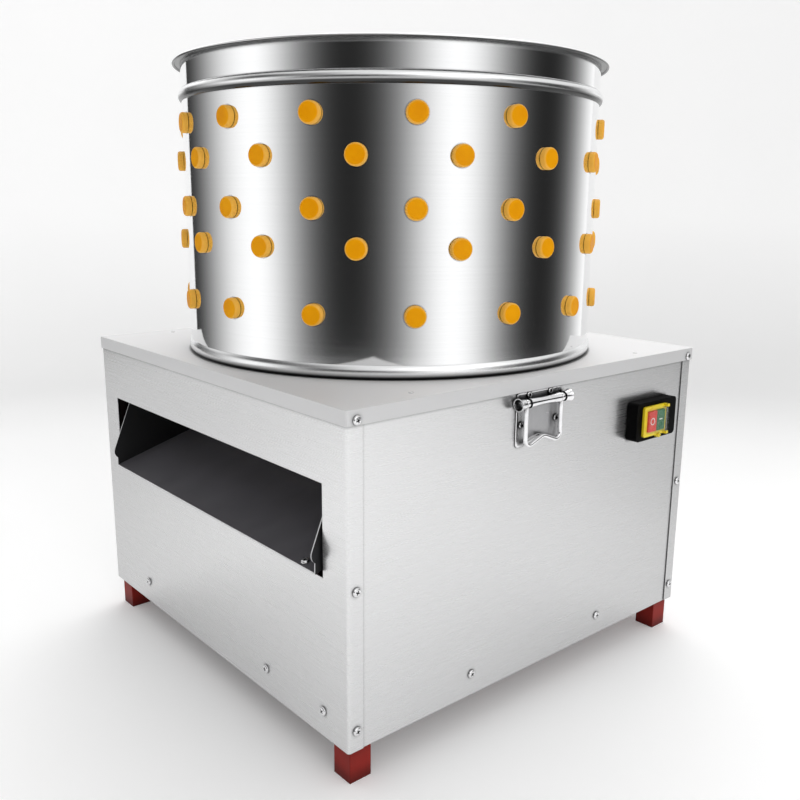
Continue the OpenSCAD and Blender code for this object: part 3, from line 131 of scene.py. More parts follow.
class Graph:
    """A shader tree that starts empty and is built up call by call."""

    def __init__(self, tree):
        self.tree = tree
        tree.nodes.clear()

    def add(self, kind, inputs=None, **settings):
        node = self.tree.nodes.new("ShaderNode" + kind)
        for name, value in settings.items():
            setattr(node, name, value)
        for name, value in (inputs or {}).items():
            self.feed(node.inputs[name], value)
        return node

    def feed(self, socket, value):
        if isinstance(value, bpy.types.NodeSocket):
            self.tree.links.new(value, socket)
        else:
            socket.default_value = value

    def dress(self, shader, tone, roughness, normal):
        for name, value in (("Base Color", tone), ("Roughness", roughness), ("Normal", normal)):
            self.feed(shader.inputs[name], value)

    def math(self, operation, *values):
        return self.add("Math", dict(enumerate(values)), operation=operation).outputs[0]

    def vector(self, operation, *values, output="Vector"):
        return self.add("VectorMath", dict(enumerate(values)), operation=operation).outputs[output]

    def coords(self):
        return self.add("TexCoord").outputs["Object"]

    def normal(self):
        return self.add("NewGeometry").outputs["Normal"]

    def place(self, stretch=(1, 1, 1)):
        """Object coordinates, stretched so that a pattern runs finer along an axis."""
        return self.add("Mapping", {"Vector": self.coords(), "Scale": stretch}).outputs["Vector"]

    def noise(self, scale, stretch=(1, 1, 1), detail=3.0):
        inputs = {"Vector": self.place(stretch), "Scale": scale, "Detail": detail}
        return self.add("TexNoise", inputs).outputs["Fac"]

    def remap(self, value, low, high, to_low, to_high):
        names = ("Value", "From Min", "From Max", "To Min", "To Max")
        inputs = dict(zip(names, (value, low, high, to_low, to_high)))
        return self.add("MapRange", inputs).outputs["Result"]

    def spread(self, noise, to_low, to_high):
        """A noise, mapped so that most of it lies between the two values."""
        return self.remap(noise, NOISE_LOW, NOISE_HIGH, to_low, to_high)

    def uneven(self, noise, roughness):
        return self.spread(noise, roughness - 0.06, roughness + 0.08)

    def ramp(self, value, stops, interpolation="LINEAR"):
        """Colours by position; a stop is (position, colour)."""
        node = self.add("ValToRGB", {"Fac": value})
        node.color_ramp.interpolation = interpolation
        elements = node.color_ramp.elements
        while len(elements) < len(stops):
            elements.new(1.0)
        for element, (position, colour) in zip(elements, stops):
            element.position = position
            element.color = (*colour, 1.0)
        return node.outputs["Color"]

    def between(self, noise, dark, light):
        """From the dark to the light colour by a noise."""
        return self.ramp(noise, [(NOISE_LOW, dark), (NOISE_HIGH, light)])

    def mottled(self, noise, colour, low, high):
        """From a darker to a lighter share of one colour by a noise."""
        dark, light = [tuple(min(1.0, c * share) for c in colour) for share in (low, high)]
        return self.between(noise, dark, light)

    def mix(self, share, a, b):
        return self.add("Mix", {0: share, 6: a, 7: b}, data_type="RGBA").outputs[2]

    def shade(self, colour, share):
        node = self.add("Mix", {0: 1.0, 6: colour, 7: share}, data_type="RGBA", blend_type="MULTIPLY")
        return node.outputs[2]

    def bump(self, height, strength, depth, normal=None):
        inputs = {"Height": height, "Strength": strength, "Distance": depth}
        if normal:
            inputs["Normal"] = normal
        return self.add("Bump", inputs).outputs["Normal"]

    def along(self, axis):
        """Metres along X, Y or Z; along Z is the height above the floor."""
        return self.add("SeparateXYZ", {0: self.coords()}).outputs[axis]

    def facing(self):
        """The parts of the surface normal along X, Y and Z."""
        return self.add("SeparateXYZ", {0: self.normal()}).outputs

    def rounded(self, radius):
        """The surface normal, rounded off at the edges."""
        return self.add("Bevel", {"Radius": radius}, samples=6).outputs["Normal"]

    def edges(self, radius):
        """1 on edges sharper than the radius, 0 on flat ground."""
        dot = self.vector("DOT_PRODUCT", self.rounded(radius), self.normal(), output="Value")
        return self.remap(dot, 0.98, 0.80, 0.0, 1.0)

    def turned(self):
        """The normal of a sheet rolled round the Z axis, without what its facets lean to the side."""
        normal = self.normal()
        around = self.vector("NORMALIZE", self.vector("CROSS_PRODUCT", (0, 0, 1), self.coords()))
        lean = self.vector("PROJECT", normal, around)
        return self.vector("NORMALIZE", self.vector("SUBTRACT", normal, lean))

    def outward(self):
        """1 where the surface looks straight away from the Z axis, 0 where it looks round or along it."""
        level = self.vector("NORMALIZE", self.place((1, 1, 0)))
        own_normal = self.add("TexCoord").outputs["Normal"]
        return self.vector("DOT_PRODUCT", own_normal, level, output="Value")

    def crevice_shade(self, reach, dark):
        """Painted shade: 1 in the open, down to dark in seams and corners within reach."""
        hidden = self.add("AmbientOcclusion", {"Distance": reach}, samples=6).outputs["AO"]
        return self.remap(hidden, 0.58, 0.97, dark, 1.0)


def finish_material(name, **sockets):
    """A material with one Principled shader; sockets set its constant values."""
    material = bpy.data.materials.new(name)
    material.use_nodes = True
    graph = Graph(material.node_tree)
    shader = graph.add("BsdfPrincipled", {k.replace("_", " "): v for k, v in sockets.items()})
    output = graph.add("OutputMaterial")
    graph.feed(output.inputs["Surface"], shader.outputs["BSDF"])
    return material, graph, shader


def brushed_sheet(name, stretch, colour, metallic, roughness, bow=0.0, far_shade=1.0):
    """Satin stainless sheet: fine brushing along the axis that stretch leaves low, faint clouds and
    painted shade in its seams.

    bow leans the sheen down, as on a panel that is bowed a little. The last argument is a painted
    shade: what is left of the tone away from the front left corner.
    """
    material, graph, shader = finish_material(name, Metallic=metallic)
    brushing = graph.noise(1.0, stretch, detail=5.0)
    clouds = graph.math("MULTIPLY", graph.noise(5.0, detail=2.0), 0.5)
    tone = graph.mottled(graph.math("MULTIPLY_ADD", brushing, 0.35, clouds), colour, 0.98, 1.01)
    # Painted shade: darker away from the front left corner, and darker in seams and corners
    from_corner = graph.math("ADD", graph.along("X"), graph.along("Y"))
    painted_falloff = graph.remap(from_corner, -(SIDE_FACE + FRONT_FACE) * MM, 0.0, 1.0, far_shade)
    tone = graph.shade(graph.shade(tone, painted_falloff), graph.crevice_shade(0.004, 0.3))
    satin = graph.remap(brushing, 0.25, 0.75, roughness - 0.02, roughness + 0.02)
    leaning = graph.vector("NORMALIZE", graph.vector("ADD", graph.rounded(0.0008), (0, 0, -bow)))
    graph.dress(shader, tone, satin, graph.bump(brushing, 0.002, 0.0002, leaning))
    return material


def mirror_sheet(name, colour, roughness, satin, ripple):
    """Polished sheet: slow ripples down the rolled wall, faint polishing lines round it, satin beads
    and rim, painted shade where it looks down and in its corners."""
    material, graph, shader = finish_material(name, Metallic=1.0)
    lines = graph.noise(1.0, (3, 3, 900), detail=4.0)
    ripples = graph.noise(1.0, (16, 16, 0.8), detail=1.0)
    height = graph.along("Z")
    beads = graph.remap(height, (RIM_Z - 1) * MM, RIM_Z * MM, 0.0, 1.0)
    for middle in (BEAD_Z, FOOT_BEAD_Z):
        away = graph.math("ABSOLUTE", graph.math("SUBTRACT", height, middle * MM))
        bead = graph.remap(away, BEAD_REACH * MM, (BEAD_REACH + 0.8) * MM, 1.0, 0.0)
        beads = graph.math("MAXIMUM", beads, bead)
    polished = graph.remap(lines, 0.2, 0.8, roughness * 0.85, roughness * 1.15)
    # Painted shade: darker where the sheet looks down, and in its corners
    under = graph.remap(graph.facing()["Z"], -0.05, -0.4, 1.0, 0.06)
    tone = graph.shade(graph.mottled(lines, colour, 0.985, 1.01), under)
    tone = graph.shade(tone, graph.crevice_shade(0.002, 0.4))
    gloss = graph.math("MULTIPLY_ADD", beads, satin, polished)
    graph.dress(shader, tone, gloss, graph.bump(ripples, ripple, 0.001, graph.turned()))
    return material


def bare_metal(name, colour, roughness, metallic=1.0, corner_shade=0.35, reach=0.003):
    """Turned or plated metal with small smears, and painted shade in its corners."""
    material, graph, shader = finish_material(name, Metallic=metallic)
    smears = graph.noise(60.0, detail=4.0)
    # Painted shade in corners, from ambient occlusion
    tone = graph.shade(graph.mottled(smears, colour, 0.86, 1.06), graph.crevice_shade(reach, corner_shade))
    smeared = graph.spread(smears, roughness * 0.7, roughness * 1.4)
    normal = graph.bump(graph.noise(700.0), 0.04, 0.0002, graph.rounded(0.0004))
    graph.dress(shader, tone, smeared, normal)
    return material


def paint(name, colour, worn, roughness, shade_above=None):
    """Sprayed paint with orange peel, uneven tone, rubbed edges and painted shade in its corners; the
    last argument is the height in metres above which it is painted black, as painted shade."""
    material, graph, shader = finish_material(name, Specular_IOR_Level=0.15)
    clouds = graph.noise(22.0, detail=4.0)
    tone = graph.mottled(clouds, colour, 0.82, 1.14)
    patches = graph.remap(graph.noise(180.0), 0.45, 0.65, 0.0, 0.8)
    rubbed = graph.math("MULTIPLY", graph.edges(0.0012), patches)
    tone = graph.mix(rubbed, tone, (*worn, 1.0))
    # Painted shade: black above the given height, where the frame stands deep in the dark
    if shade_above:
        ragged = graph.math("MULTIPLY_ADD", clouds, 0.06, graph.along("Z"))
        black = graph.remap(ragged, shade_above, shade_above + 0.08, 0.0, 0.97)
        tone = graph.mix(black, tone, (0.006, 0.005, 0.005, 1.0))
    # Painted shade in corners, from ambient occlusion
    tone = graph.shade(tone, graph.crevice_shade(0.02, 0.35))
    normal = graph.bump(graph.noise(900.0), 0.06, 0.0003, graph.rounded(0.0015))
    graph.dress(shader, tone, graph.uneven(clouds, roughness), normal)
    return material


def chute_paint(name, floor, wall_shade, bare, roughness):
    """Grey paint on the floor, darker toward the mouth because painted light lifts it deeper in;
    near-black wall faces, which are painted shade; and bright bare metal on the cut edges at the mouth."""
    material, graph, shader = finish_material(name, Specular_IOR_Level=0.3)
    clouds = graph.noise(14.0, (1, 3, 1), detail=4.0)
    # Painted light: the floor is lifted deeper in, and is darker toward the mouth
    lifted_deeper_in = graph.remap(graph.along("X"), -0.28, -0.05, 0.24, 1.0)
    tone = graph.shade(graph.mottled(clouds, floor, 0.92, 1.07), lifted_deeper_in)
    facing = graph.facing()
    # Painted shade: faces that look sideways take the near-black wall colour
    upright = graph.remap(graph.math("ABSOLUTE", facing["Y"]), 0.3, 0.6, 0.0, 1.0)
    tone = graph.mix(upright, tone, (*wall_shade, 1.0))
    cut = graph.remap(facing["X"], -0.7, -0.9, 0.0, graph.spread(clouds, 0.75, 1.0))
    tone = graph.mix(cut, tone, (*bare, 1.0))
    normal = graph.bump(graph.noise(900.0), 0.06, 0.0003)
    graph.dress(shader, tone, graph.uneven(clouds, roughness), normal)
    return material


def moulded(name, colour, roughness, grain, rounding=0.0006, rim=None, **sockets):
    """Moulded plastic or rubber with fine grain and slight flow marks; the rim colour is a painted
    highlight where the surface doesn't look straight out from the drum's axis."""
    material, graph, shader = finish_material(name, **sockets)
    flow = graph.noise(38.0, detail=3.0)
    tone = graph.mottled(flow, colour, 0.88, 1.10)
    if rim:
        # Painted highlight: paler where the surface turns away from the drum's axis
        highlight_share = graph.remap(graph.outward(), 0.99, 0.8, 0.0, 1.0)
        tone = graph.mix(highlight_share, tone, (*rim, 1.0))
    normal = graph.bump(graph.noise(1600.0), grain, 0.0002, graph.rounded(rounding))
    graph.dress(shader, tone, graph.uneven(flow, roughness), normal)
    return material


def make_materials():
    stainless = (0.80, 0.80, 0.805)
    return {
        "sheet": brushed_sheet("stainless_sheet", (12, 12, 2600), stainless, 0.9, 0.28,
                               bow=0.06, far_shade=0.7),
        "lid": brushed_sheet("stainless_lid", (12, 2600, 2600), stainless, 0.4, 0.5),
        "table": brushed_sheet("stainless_table", (300, 3, 3), (0.66, 0.66, 0.67), 0.9, 0.30),
        "drum": mirror_sheet("drum_mirror", (0.92, 0.925, 0.93), 0.07, 0.16, 0.02),
        "steel": bare_metal("turned_steel", (0.60, 0.60, 0.61), 0.26),
        "screw": bare_metal("screw_steel", (0.86, 0.86, 0.87), 0.2, corner_shade=0.12),
        "handle": bare_metal("handle_plating", (0.90, 0.90, 0.91), 0.10, corner_shade=0.06, reach=0.007),
        "pressed": bare_metal("pressed_plate", (0.55, 0.55, 0.56), 0.36, corner_shade=0.1, reach=0.006),
        "iron": bare_metal("cast_iron", (0.10, 0.10, 0.11), 0.5, 0.6),
        "red": paint("oxide_red_paint", (0.31, 0.021, 0.015), (0.11, 0.02, 0.014), 0.5, shade_above=0.10),
        "chute": chute_paint("chute_paint", (0.38, 0.369, 0.407), (0.012, 0.012, 0.013),
                             (0.85, 0.85, 0.86), 0.5),
        "motor": paint("motor_paint", (0.075, 0.105, 0.14), (0.2, 0.2, 0.2), 0.4),
        "amber": moulded("amber_rubber", (1.0, 0.385, 0.001), 0.4, 0.05, rim=(1.0, 0.52, 0.08),
                         Specular_IOR_Level=0.08, Subsurface_Weight=0.12,
                         Subsurface_Radius=(0.006, 0.003, 0.001), Subsurface_Scale=0.5),
        "black_rubber": moulded("black_rubber", (0.014, 0.014, 0.014), 0.66, 0.12),
        "black": moulded("black_plastic", (0.002, 0.002, 0.0022), 0.45, 0.14, 0.0012,
                         Specular_IOR_Level=0.04),
        "yellow": moulded("yellow_plastic", (0.98, 0.72, 0.02), 0.3, 0.03),
        "stop": moulded("red_plastic", (0.80, 0.040, 0.022), 0.28, 0.02, 0.0012),
        "start": moulded("green_plastic", (0.016, 0.17, 0.062), 0.28, 0.02, 0.0012),
        "mark": moulded("white_mark", (0.86, 0.86, 0.83), 0.4, 0.02),
        "clear": moulded("clear_plastic", (0.45, 0.47, 0.46), 0.09, 0.01, Alpha=0.06, IOR=1.46),
    }


# Material of each CAD node that shows as it is
NODE_FINISH = {
    "red": ["frame_legs", "upper_rails", "lower_rails", "cross_beams", "bearing_housing"],
    "sheet": ["left_panel", "right_panel", "front_panel", "back_panel"],
    "lid": ["top_cover"],
    "table": ["turntable_plate"],
    "drum": ["drum_shell"],
    "steel": ["splash_collar", "turntable_hub", "hub_bolts", "shaft_washer", "shaft_cap_nut",
              "main_shaft", "housing_bolts", "upper_bearing", "lower_bearing", "pulley_bolt",
              "motor_bolts", "motor_shaft", "flap_pin", "front_handle_pin", "back_handle_pin"],
    "iron": ["driven_pulley", "motor_pulley"],
    "chute": ["feather_chute"],
    "motor": ["motor_body", "motor_fan_cover", "motor_terminal_box"],
    "amber": ["drum_fingers_row_1", "drum_fingers_row_2", "drum_fingers_row_3", "drum_fingers_row_4",
              "drum_fingers_row_5", "turntable_fingers_inner", "turntable_fingers_middle",
              "turntable_fingers_outer"],
    "black_rubber": ["water_slinger", "drive_belt"],
    "black": ["switch_box", "cable_gland"],
    "yellow": ["switch_plate"],
    "stop": ["red_button"],
    "start": ["green_button"],
    "clear": ["switch_flap"],
}


def finish_nodes(frame, materials):
    for key, nodes in NODE_FINISH.items():
        for name in nodes:
            for slot in frame["nodes"][name].material_slots:
                slot.material = materials[key]


def place_on(origin, right, up):
    """Frame of a face, from millimetres there to metres in the world: right and up on it, out of it
    along Z."""
    axes = Matrix((right, up, right.cross(up))).transposed().to_4x4()
    return Matrix.Translation(Vector(origin) * MM) @ axes @ Matrix.Scale(MM, 4)


def loft(bm, rings):
    """A band of faces from each ring to the next."""
    for low, high in zip(rings, rings[1:]):
        for i in range(len(low)):
            bm.faces.new((low[i - 1], low[i], high[i], high[i - 1]))


def solid(bm, rings):
    """As loft, with both ends closed; gives the last face."""
    loft(bm, rings)
    bm.faces.new(rings[0])
    return bm.faces.new(rings[-1])


def circle(steps):
    return [2 * math.pi * i / steps for i in range(steps)]


def lathe(bm, profile, place, segments=32):
    """Turns (radius, height) points round the frame's Z axis, and gives their rings."""
    rings = []
    for radius, height in profile:
        points = [Vector((radius * math.cos(a), radius * math.sin(a), height)) for a in circle(segments)]
        rings.append([bm.verts.new(place @ point) for point in points])
    loft(bm, rings)
    return rings


def closed_lathe(bm, profile, place, segments=32):
    """As lathe, with the last ring joined to the first, for a section that doesn't reach the axis."""
    rings = lathe(bm, profile, place, segments)
    loft(bm, [rings[-1], rings[0]])


def bar(bm, path, radius, place, sides=16):
    """Round bar along points in the frame's XY plane."""
    rings = []
    for i, point in enumerate(path):
        along = (path[min(i + 1, len(path) - 1)] - path[max(i - 1, 0)]).normalized()
        across = along.cross(Z)
        points = [point + radius * (across * math.cos(a) + Z * math.sin(a)) for a in circle(sides)]
        rings.append([bm.verts.new(place @ p) for p in points])
    solid(bm, rings)


def outline_ring(bm, points, height, place):
    return [bm.verts.new(place @ Vector((*point, height))) for point in points]


def pressed_rings(bm, outline, levels, place):
    return [outline_ring(bm, inset(outline, depth), height, place) for depth, height in levels]


def inset(points, depth):
    """A closed outline, counter-clockwise, moved in by depth."""
    moved = []
    for i, point in enumerate(points):
        back = (point - points[i - 1]).normalized()
        on = (points[(i + 1) % len(points)] - point).normalized()
        normal = (Vector((-back.y, back.x)) + Vector((-on.y, on.x))).normalized()
        reach = max(0.4, normal.dot(Vector((-on.y, on.x))))
        moved.append(point + normal * depth / reach)
    return moved


def arc(centre, radius, start, end, steps):
    """Points of an arc; angles in degrees."""
    turns = [math.radians(start + (end - start) * i / steps) for i in range(steps + 1)]
    return [Vector((centre[0] + radius * math.cos(a), centre[1] + radius * math.sin(a))) for a in turns]


def to_mesh(bm, name):
    mesh = bpy.data.meshes.new(name)
    bm.to_mesh(mesh)
    bm.free()
    return mesh


def add_object(name, data):
    item = bpy.data.objects.new(name, data)
    bpy.context.scene.collection.objects.link(item)
    return item


def add_piece(name, body, materials, nodes, draw, sharp=40):
    """A mesh piece on a body, in place of the CAD nodes that it stands for, with the slot that they
    have in the record."""
    bm = bmesh.new()
    draw(bm)
    bmesh.ops.recalc_face_normals(bm, faces=bm.faces)
    mesh = to_mesh(bm, name)
    mesh.shade_smooth()
    mesh.set_sharp_from_angle(angle=math.radians(sharp))
    for material in materials:
        mesh.materials.append(material)
    piece = add_object(name, mesh)
    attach(piece, body)
    if nodes:
        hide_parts(*nodes)


def loop_edges(bm, ring):
    return [bm.edges.get((ring[i - 1], ring[i])) for i in range(len(ring))]


def cross_screw(bm, place, turn):
    """Pan-head screw with a cross recess, its seat at the frame's origin."""
    place = place @ Matrix.Rotation(turn, 4, "Z")
    rings = lathe(bm, SCREW_HEAD, place)
    bm.faces.new(rings[0])
    arm, tip = RECESS_ARM, RECESS_TIP
    cross = []
    for quarter in range(4):
        spin = Matrix.Rotation(quarter * math.pi / 2, 2)
        cross += [spin @ Vector(p) for p in ((arm, arm), (arm, tip), (-arm, tip))]
    top = SCREW_HEAD[-1][1]
    mouth = outline_ring(bm, cross, top, place)
    floor = outline_ring(bm, [p * RECESS_TAPER for p in cross], top - RECESS_DEPTH, place)
    loft(bm, [floor, mouth])
    bm.faces.new(floor)
    loops = loop_edges(bm, rings[-1]) + loop_edges(bm, mouth)
    bmesh.ops.triangle_fill(bm, edges=loops, use_beauty=True)


def draw_screws(places):
    """Screws that are each turned a little further, as if driven home by hand."""
    def draw(bm):
        for i, place in enumerate(places):
            cross_screw(bm, place, FIRST_TURN + NEXT_TURN * i)
    return draw


def add_screws(materials):
    panel, cover = [], []
    for side in (-1, 1):
        right = -side * X
        for x in (-FLANGE_SCREW_X, FLANGE_SCREW_X):
            panel += [place_on((x, side * FRONT_FACE, z), right, Z) for z in FLANGE_SCREW_Z]
            cover.append(place_on((x, side * (FRONT_FACE + LID_LIP), LIP_SCREW_Z), right, Z))
        for x in (-LOW_SCREW_X, LOW_SCREW_X):
            panel.append(place_on((x, side * (FRONT_FACE - SHEET), LOW_SCREW_Z), right, Z))
        panel += [place_on((side * SIDE_FACE, y, SIDE_SCREW_Z), side * Y, Z) for y in SIDE_SCREW_Y]
    chute = [place_on((x, side * CHUTE_FLANGE_Y, CHUTE_FLANGE_Z), X, -Y)
             for side in (-1, 1) for x in CHUTE_FLANGE_X]
    along = Vector((math.cos(CHUTE_SLOPE), 0, math.sin(CHUTE_SLOPE)))
    chute.append(place_on(CHUTE_SCREW, along, Y))
    for name, places in (("panel_screws", panel), ("cover_screws", cover), ("chute_screws", chute)):
        add_piece(name + "_cross", "base", [materials["screw"]], [name], draw_screws(places))


def plate_outline():
    """Handle plate, counter-clockwise: round corners, and a wide scallop out of the lower edge."""
    corner = 4
    right, low, high = HANDLE_W / 2 - corner, corner - HANDLE_DROP, HANDLE_RISE - corner
    points = []
    for x, y, start in ((right, low, -90), (right, high, 0), (-right, high, 90), (-right, low, 180)):
        points += arc((x, y), corner, start, start + 90, 6)
    centre = WAIST_CUT - HANDLE_DROP - WAIST_CUT_R
    reach = math.degrees(math.acos((WAIST_CUT_R - WAIST_CUT) / WAIST_CUT_R))
    return points + arc((0, centre), WAIST_CUT_R, 90 + reach, 90 - reach, 20)


def draw_handle_base(place):
    """Pressed plate with a sunk middle, and the hourglass barrel that holds the pin."""
    def draw(bm):
        sunk = solid(bm, pressed_rings(bm, plate_outline(), PLATE_LEVELS, place))
        sunk.material_index = 1
        pin = place @ Matrix.Translation((0, 0, PIN_OUT)) @ Matrix.Rotation(math.pi / 2, 4, "Y")
        gap = BAIL_HALF - EYE_LEN / 2 - EYE_PLAY
        heights = [gap * (i / 8 - 1) for i in range(17)]
        middle = [(BARREL_WAIST + BARREL_FLARE * (h / gap) ** 2, h) for h in heights]
        closed_lathe(bm, [(PIN_BORE, -gap)] + middle + [(PIN_BORE, gap)], pin)
        out, end = BAIL_HALF + EYE_LEN / 2 + EYE_PLAY, BARREL_END
        horn = [(PIN_BORE, out), (5.4, out), (5.7, out + 3), (6.4, out + 6.5), (7.2, end - 0.3),
                (6.9, end), (6.1, end - 0.3), (5.2, out + 6), (4.6, out + 3.2), (PIN_BORE, out + 3)]
        for side in (-1, 1):
            closed_lathe(bm, [(r, side * h) for r, h in horn], pin)
        for x, length, top in ((0, 2 * gap, 5.6), (-33.5, 3.4, 3.2), (33.5, 3.4, 3.2)):
            block = Matrix.Translation((x, 0, top / 2)) @ Matrix.Diagonal((length, 6, top, 1))
            bmesh.ops.create_cube(bm, size=1, matrix=place @ block)
    return draw


def bail_path():
    """Half of the bail from its eye to the middle of the waisted bar, then its mirror image."""
    corner_r, corner, waist_r, waist, slope = 7, (21, -39), 10, (0, -49), 21.5
    half = [Vector((BAIL_HALF, -2.5)), Vector((BAIL_HALF, -20))]
    half += arc(corner, corner_r, 0, -90 - slope, 10) + arc(waist, waist_r, 90 - slope, 90, 5)
    mirrored = [Vector((-p.x, p.y)) for p in reversed(half[:-1])]
    return [p.to_3d() for p in half + mirrored]


def draw_bail(place):
    """Bent round bar with an eye at each end."""
    def draw(bm):
        pin = place @ Matrix.Translation((0, 0, PIN_OUT))
        bar(bm, bail_path(), BAIL_R, pin)
        half, edge = EYE_LEN / 2, 0.8
        eye = [(PIN_BORE, -half), (EYE_R - edge, -half), (EYE_R, edge - half), (EYE_R, half - edge),
               (EYE_R - edge, half), (PIN_BORE, half)]
        across = Matrix.Rotation(math.pi / 2, 4, "Y")
        for side in (-1, 1):
            closed_lathe(bm, eye, pin @ Matrix.Translation((side * BAIL_HALF, 0, 0)) @ across, 24)
    return draw


def draw_rivets(place):
    """Tubular rivets, rolled over into a ring."""
    def draw(bm):
        for x, y in RIVET_PLACES:
            closed_lathe(bm, RIVET_RING, place @ Matrix.Translation((x, y, HANDLE_T)), 24)
    return draw


def add_handles(materials):
    plated = [materials["handle"]]
    for side, name in ((-1, "front"), (1, "back")):
        place = place_on((HANDLE_X, side * (FRONT_FACE - SHEET), HANDLE_Z), -side * X, Z)
        add_piece(name + "_plate_and_barrel", "base", plated + [materials["pressed"]],
                  [name + "_handle_base"], draw_handle_base(place), 35)
        add_piece(name + "_rivet_rings", "base", plated, [name + "_handle_rivets"],
                  draw_rivets(place))
        add_piece(name + "_bent_bar", name + "_bail", plated, [name + "_handle_bail"],
                  draw_bail(place), 60)


def add_switch_marks(materials):
    """Raised marks moulded on the two keys: a ring for stop and a bar for start."""
    face = place_on((SWITCH_X, -(FRONT_FACE - SHEET), SWITCH_Z), X, Z)

    def ring(bm):
        closed_lathe(bm, STOP_RING, face @ Matrix.Translation((RED_X, 0, BUTTON_FACE)), 40)

    def stroke(bm):
        at = face @ Matrix.Translation((GREEN_X, START_BAR_UP, BUTTON_FACE))
        outline = arc((START_BAR_HALF, 0), START_BAR_R, -90, 90, 6)
        outline += arc((-START_BAR_HALF, 0), START_BAR_R, 90, 270, 6)
        solid(bm, pressed_rings(bm, outline, START_BAR_LEVELS, at))

    add_piece("stop_ring", "stop_button", [materials["mark"]], [], ring)
    add_piece("start_bar", "start_button", [materials["mark"]], [], stroke)


def make_camera():
    forward = Vector(CAMERA_FORWARD).normalized()
    level = forward.cross(Z).normalized()
    upright = level.cross(forward)
    roll = math.radians(CAMERA_ROLL)
    right = level * math.cos(roll) + upright * math.sin(roll)
    up = upright * math.cos(roll) - level * math.sin(roll)
    camera = add_object("camera", bpy.data.cameras.new("camera"))
    axes = Matrix((right, up, -forward)).transposed().to_4x4()
    camera.matrix_world = Matrix.Translation(CAMERA_PLACE) @ axes
    camera.data.sensor_fit = "HORIZONTAL"
    camera.data.sensor_width = CAMERA_SENSOR
    camera.data.lens = CAMERA_LENS
    camera.data.clip_start = CAMERA_NEAR
    bpy.context.scene.camera = camera


def make_world():
    """Studio round the object: light and dark flats along the horizon, soft light above and pale
    ground below."""
    world = bpy.data.worlds.new("studio")
    bpy.context.scene.world = world
    world.use_nodes = True
    graph = Graph(world.node_tree)
    turned = graph.add("VectorRotate", {"Vector": graph.add("TexCoord").outputs["Generated"],
                                        "Angle": -math.radians(STUDIO_AZIMUTH)}, rotation_type="Z_AXIS")
    direction = graph.add("SeparateXYZ", {0: turned.outputs[0]}).outputs
    azimuth = graph.math("ARCTAN2", direction["Y"], direction["X"])
    rise = direction["Z"]

    def step(heights, low=0.0, high=1.0):
        return graph.remap(rise, *heights, low, high)

    before = graph.math("MINIMUM", graph.math("SUBTRACT", azimuth, math.radians(FLATS_BREAK)), 0.0)
    drawn_out = graph.math("MULTIPLY_ADD", before, -FLATS_DRAWN_OUT, azimuth)
    wave = graph.math("COSINE", graph.math("MULTIPLY", drawn_out, FLATS_PER_TURN))
    flats = graph.math("MULTIPLY_ADD", wave, FLATS_SWING, FLATS_MIDDLE)
    flats = graph.math("POWER", flats, FLATS_CONTRAST)
    flats = graph.math("MULTIPLY_ADD", flats, FLATS_GAIN, FLATS_LEAST)
    turn = graph.math("MULTIPLY_ADD", azimuth, 0.5 / math.pi, 0.5)
    sky, ground = [graph.ramp(turn, [((d + 180) / 360, grey(v)) for d, v in stops], "EASE")
                   for stops in (SKY, GROUND)]
    sky = graph.mix(step(SKY_TO_OVERHEAD), sky, (*grey(OVERHEAD), 1.0))
    ground = graph.shade(ground, step(GROUND_TO_UNDERFOOT, 1.0, UNDERFOOT))
    away = graph.mix(step(GROUND_TO_SKY), ground, sky)
    off_flats = graph.math("MAXIMUM", step(FLATS_TO_SKY), step(FLATS_TO_GROUND))
    background = graph.add("Background", {"Color": graph.mix(off_flats, flats, away)})
    output = graph.add("OutputWorld")
    graph.feed(output.inputs["Surface"], background.outputs[0])


def shaded_sides(graph):
    """Painted shade on the paper: 1 near the object, before it and behind it; darker out at both sides,
    which the panels' far ends mirror."""
    front, white, dark = math.radians(SIDES_FRONT), grey(1.0), grey(SIDES_TONE)
    out = graph.vector("LENGTH", graph.place((1, 1, 0)), output="Value")
    across = graph.math("MULTIPLY", graph.along("X"), math.cos(front))
    toward = graph.math("ADD", across, graph.math("MULTIPLY", graph.along("Y"), math.sin(front)))
    turn = graph.remap(graph.math("DIVIDE", toward, out), -1.0, 1.0, 0.0, 1.0)
    sides = graph.ramp(turn, [(0.25, white), (0.4, dark), (0.53, dark), (0.75, white)])
    return graph.mix(graph.remap(out, *SIDES_FROM, 0.0, 1.0), (*white, 1.0), sides)


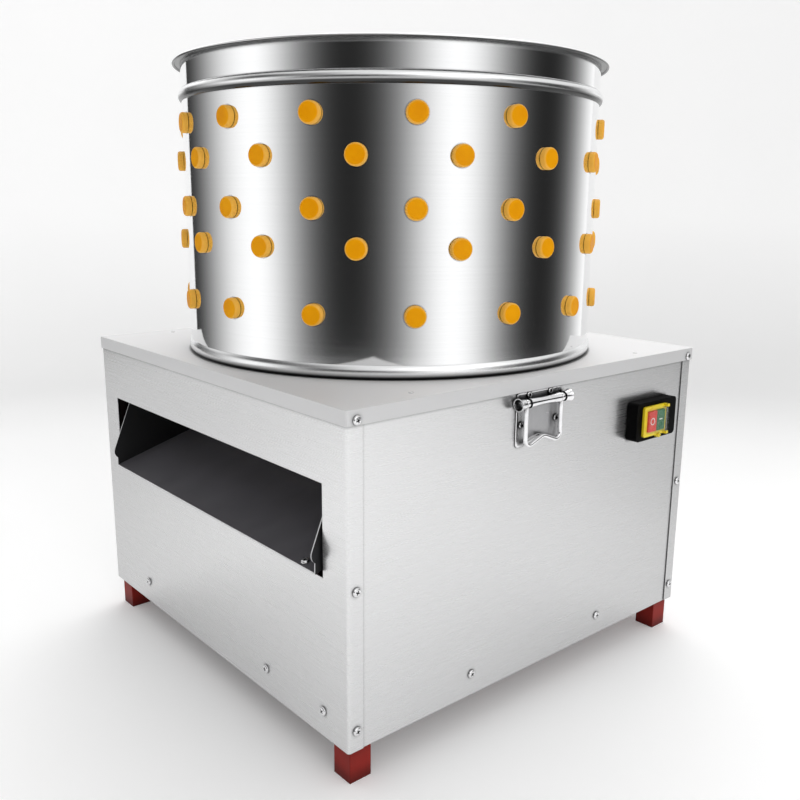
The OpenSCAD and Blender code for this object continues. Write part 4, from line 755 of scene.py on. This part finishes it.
def stage_paper():
    """Pale floor below, lit wall above the bend, painted shade at both sides: white to the eye, in
    metal and through glass.
    """
    material, graph, shader = finish_material("stage_paper", Roughness=0.9, Specular_IOR_Level=0.0,
                                              Emission_Color=(1, 1, 1, 1))
    rise = graph.remap(graph.along("Z"), 0.0, STAGE_BEND, 0.0, 1.0)
    floor, wall = [graph.between(graph.noise(3.0), grey(low), grey(high))
                   for low, high in (FLOOR_TONE, WALL_TONE)]
    # Painted shade at both sides of the paper
    sides = shaded_sides(graph)
    graph.feed(shader.inputs["Base Color"], graph.shade(graph.mix(rise, floor, wall), sides))
    ray = graph.add("LightPath").outputs
    seen = graph.math("MAXIMUM", ray["Is Glossy Ray"], ray["Is Transmission Ray"])
    seen = graph.math("MAXIMUM", ray["Is Camera Ray"], seen)
    glow = graph.math("MULTIPLY", graph.remap(rise, 0.0, 1.0, FLOOR_GLOW, WALL_GLOW), sides)
    graph.feed(shader.inputs["Emission Strength"], graph.math("MULTIPLY", seen, glow))
    return material


def make_stage():
    """Paper floor that bends up into a wall behind the object, and a soft sun from behind on the
    right."""
    start = STAGE_REACH - STAGE_BEND
    quarter = [math.radians(90 * k / BEND_STEPS) for k in range(BEND_STEPS + 1)]
    curved = [(start + STAGE_BEND * math.sin(a), STAGE_BEND - STAGE_BEND * math.cos(a)) for a in quarter]
    curved.append((STAGE_REACH, STAGE_WALL))
    flat = [(start, 0), (STAGE_REACH, 0)]
    bm = bmesh.new()
    for first in range(0, 360, STAGE_STEP):
        from_behind = abs((first + STAGE_STEP / 2 - STAGE_BEHIND + 180) % 360 - 180)
        profile = [(0, 0)] + (curved if from_behind < STAGE_HALF else flat)
        turns = [math.radians(a) for a in (first, first + STAGE_STEP)]
        left, right = [[bm.verts.new((r * math.cos(a), r * math.sin(a), z)) for r, z in profile]
                       for a in turns]
        for i in range(len(profile) - 1):
            bm.faces.new((left[i], left[i + 1], right[i + 1], right[i])).smooth = True
    bmesh.ops.remove_doubles(bm, verts=bm.verts, dist=1e-5)
    mesh = to_mesh(bm, "paper")
    mesh.materials.append(stage_paper())
    paper = add_object("paper", mesh)
    sun = add_object("soft_sun", bpy.data.lights.new("soft_sun", "SUN"))
    sun.data.energy = SUN_ENERGY
    sun.data.angle = math.radians(SUN_ANGLE)
    sun.rotation_euler = Vector(SUN_TRAVEL).to_track_quat("-Z", "Y").to_euler()


def main():
    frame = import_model()
    bpy.context.scene.view_settings.view_transform = "Standard"
    make_camera()
    make_world()
    make_stage()
    materials = make_materials()
    finish_nodes(frame, materials)
    add_screws(materials)
    add_handles(materials)
    add_switch_marks(materials)


main()
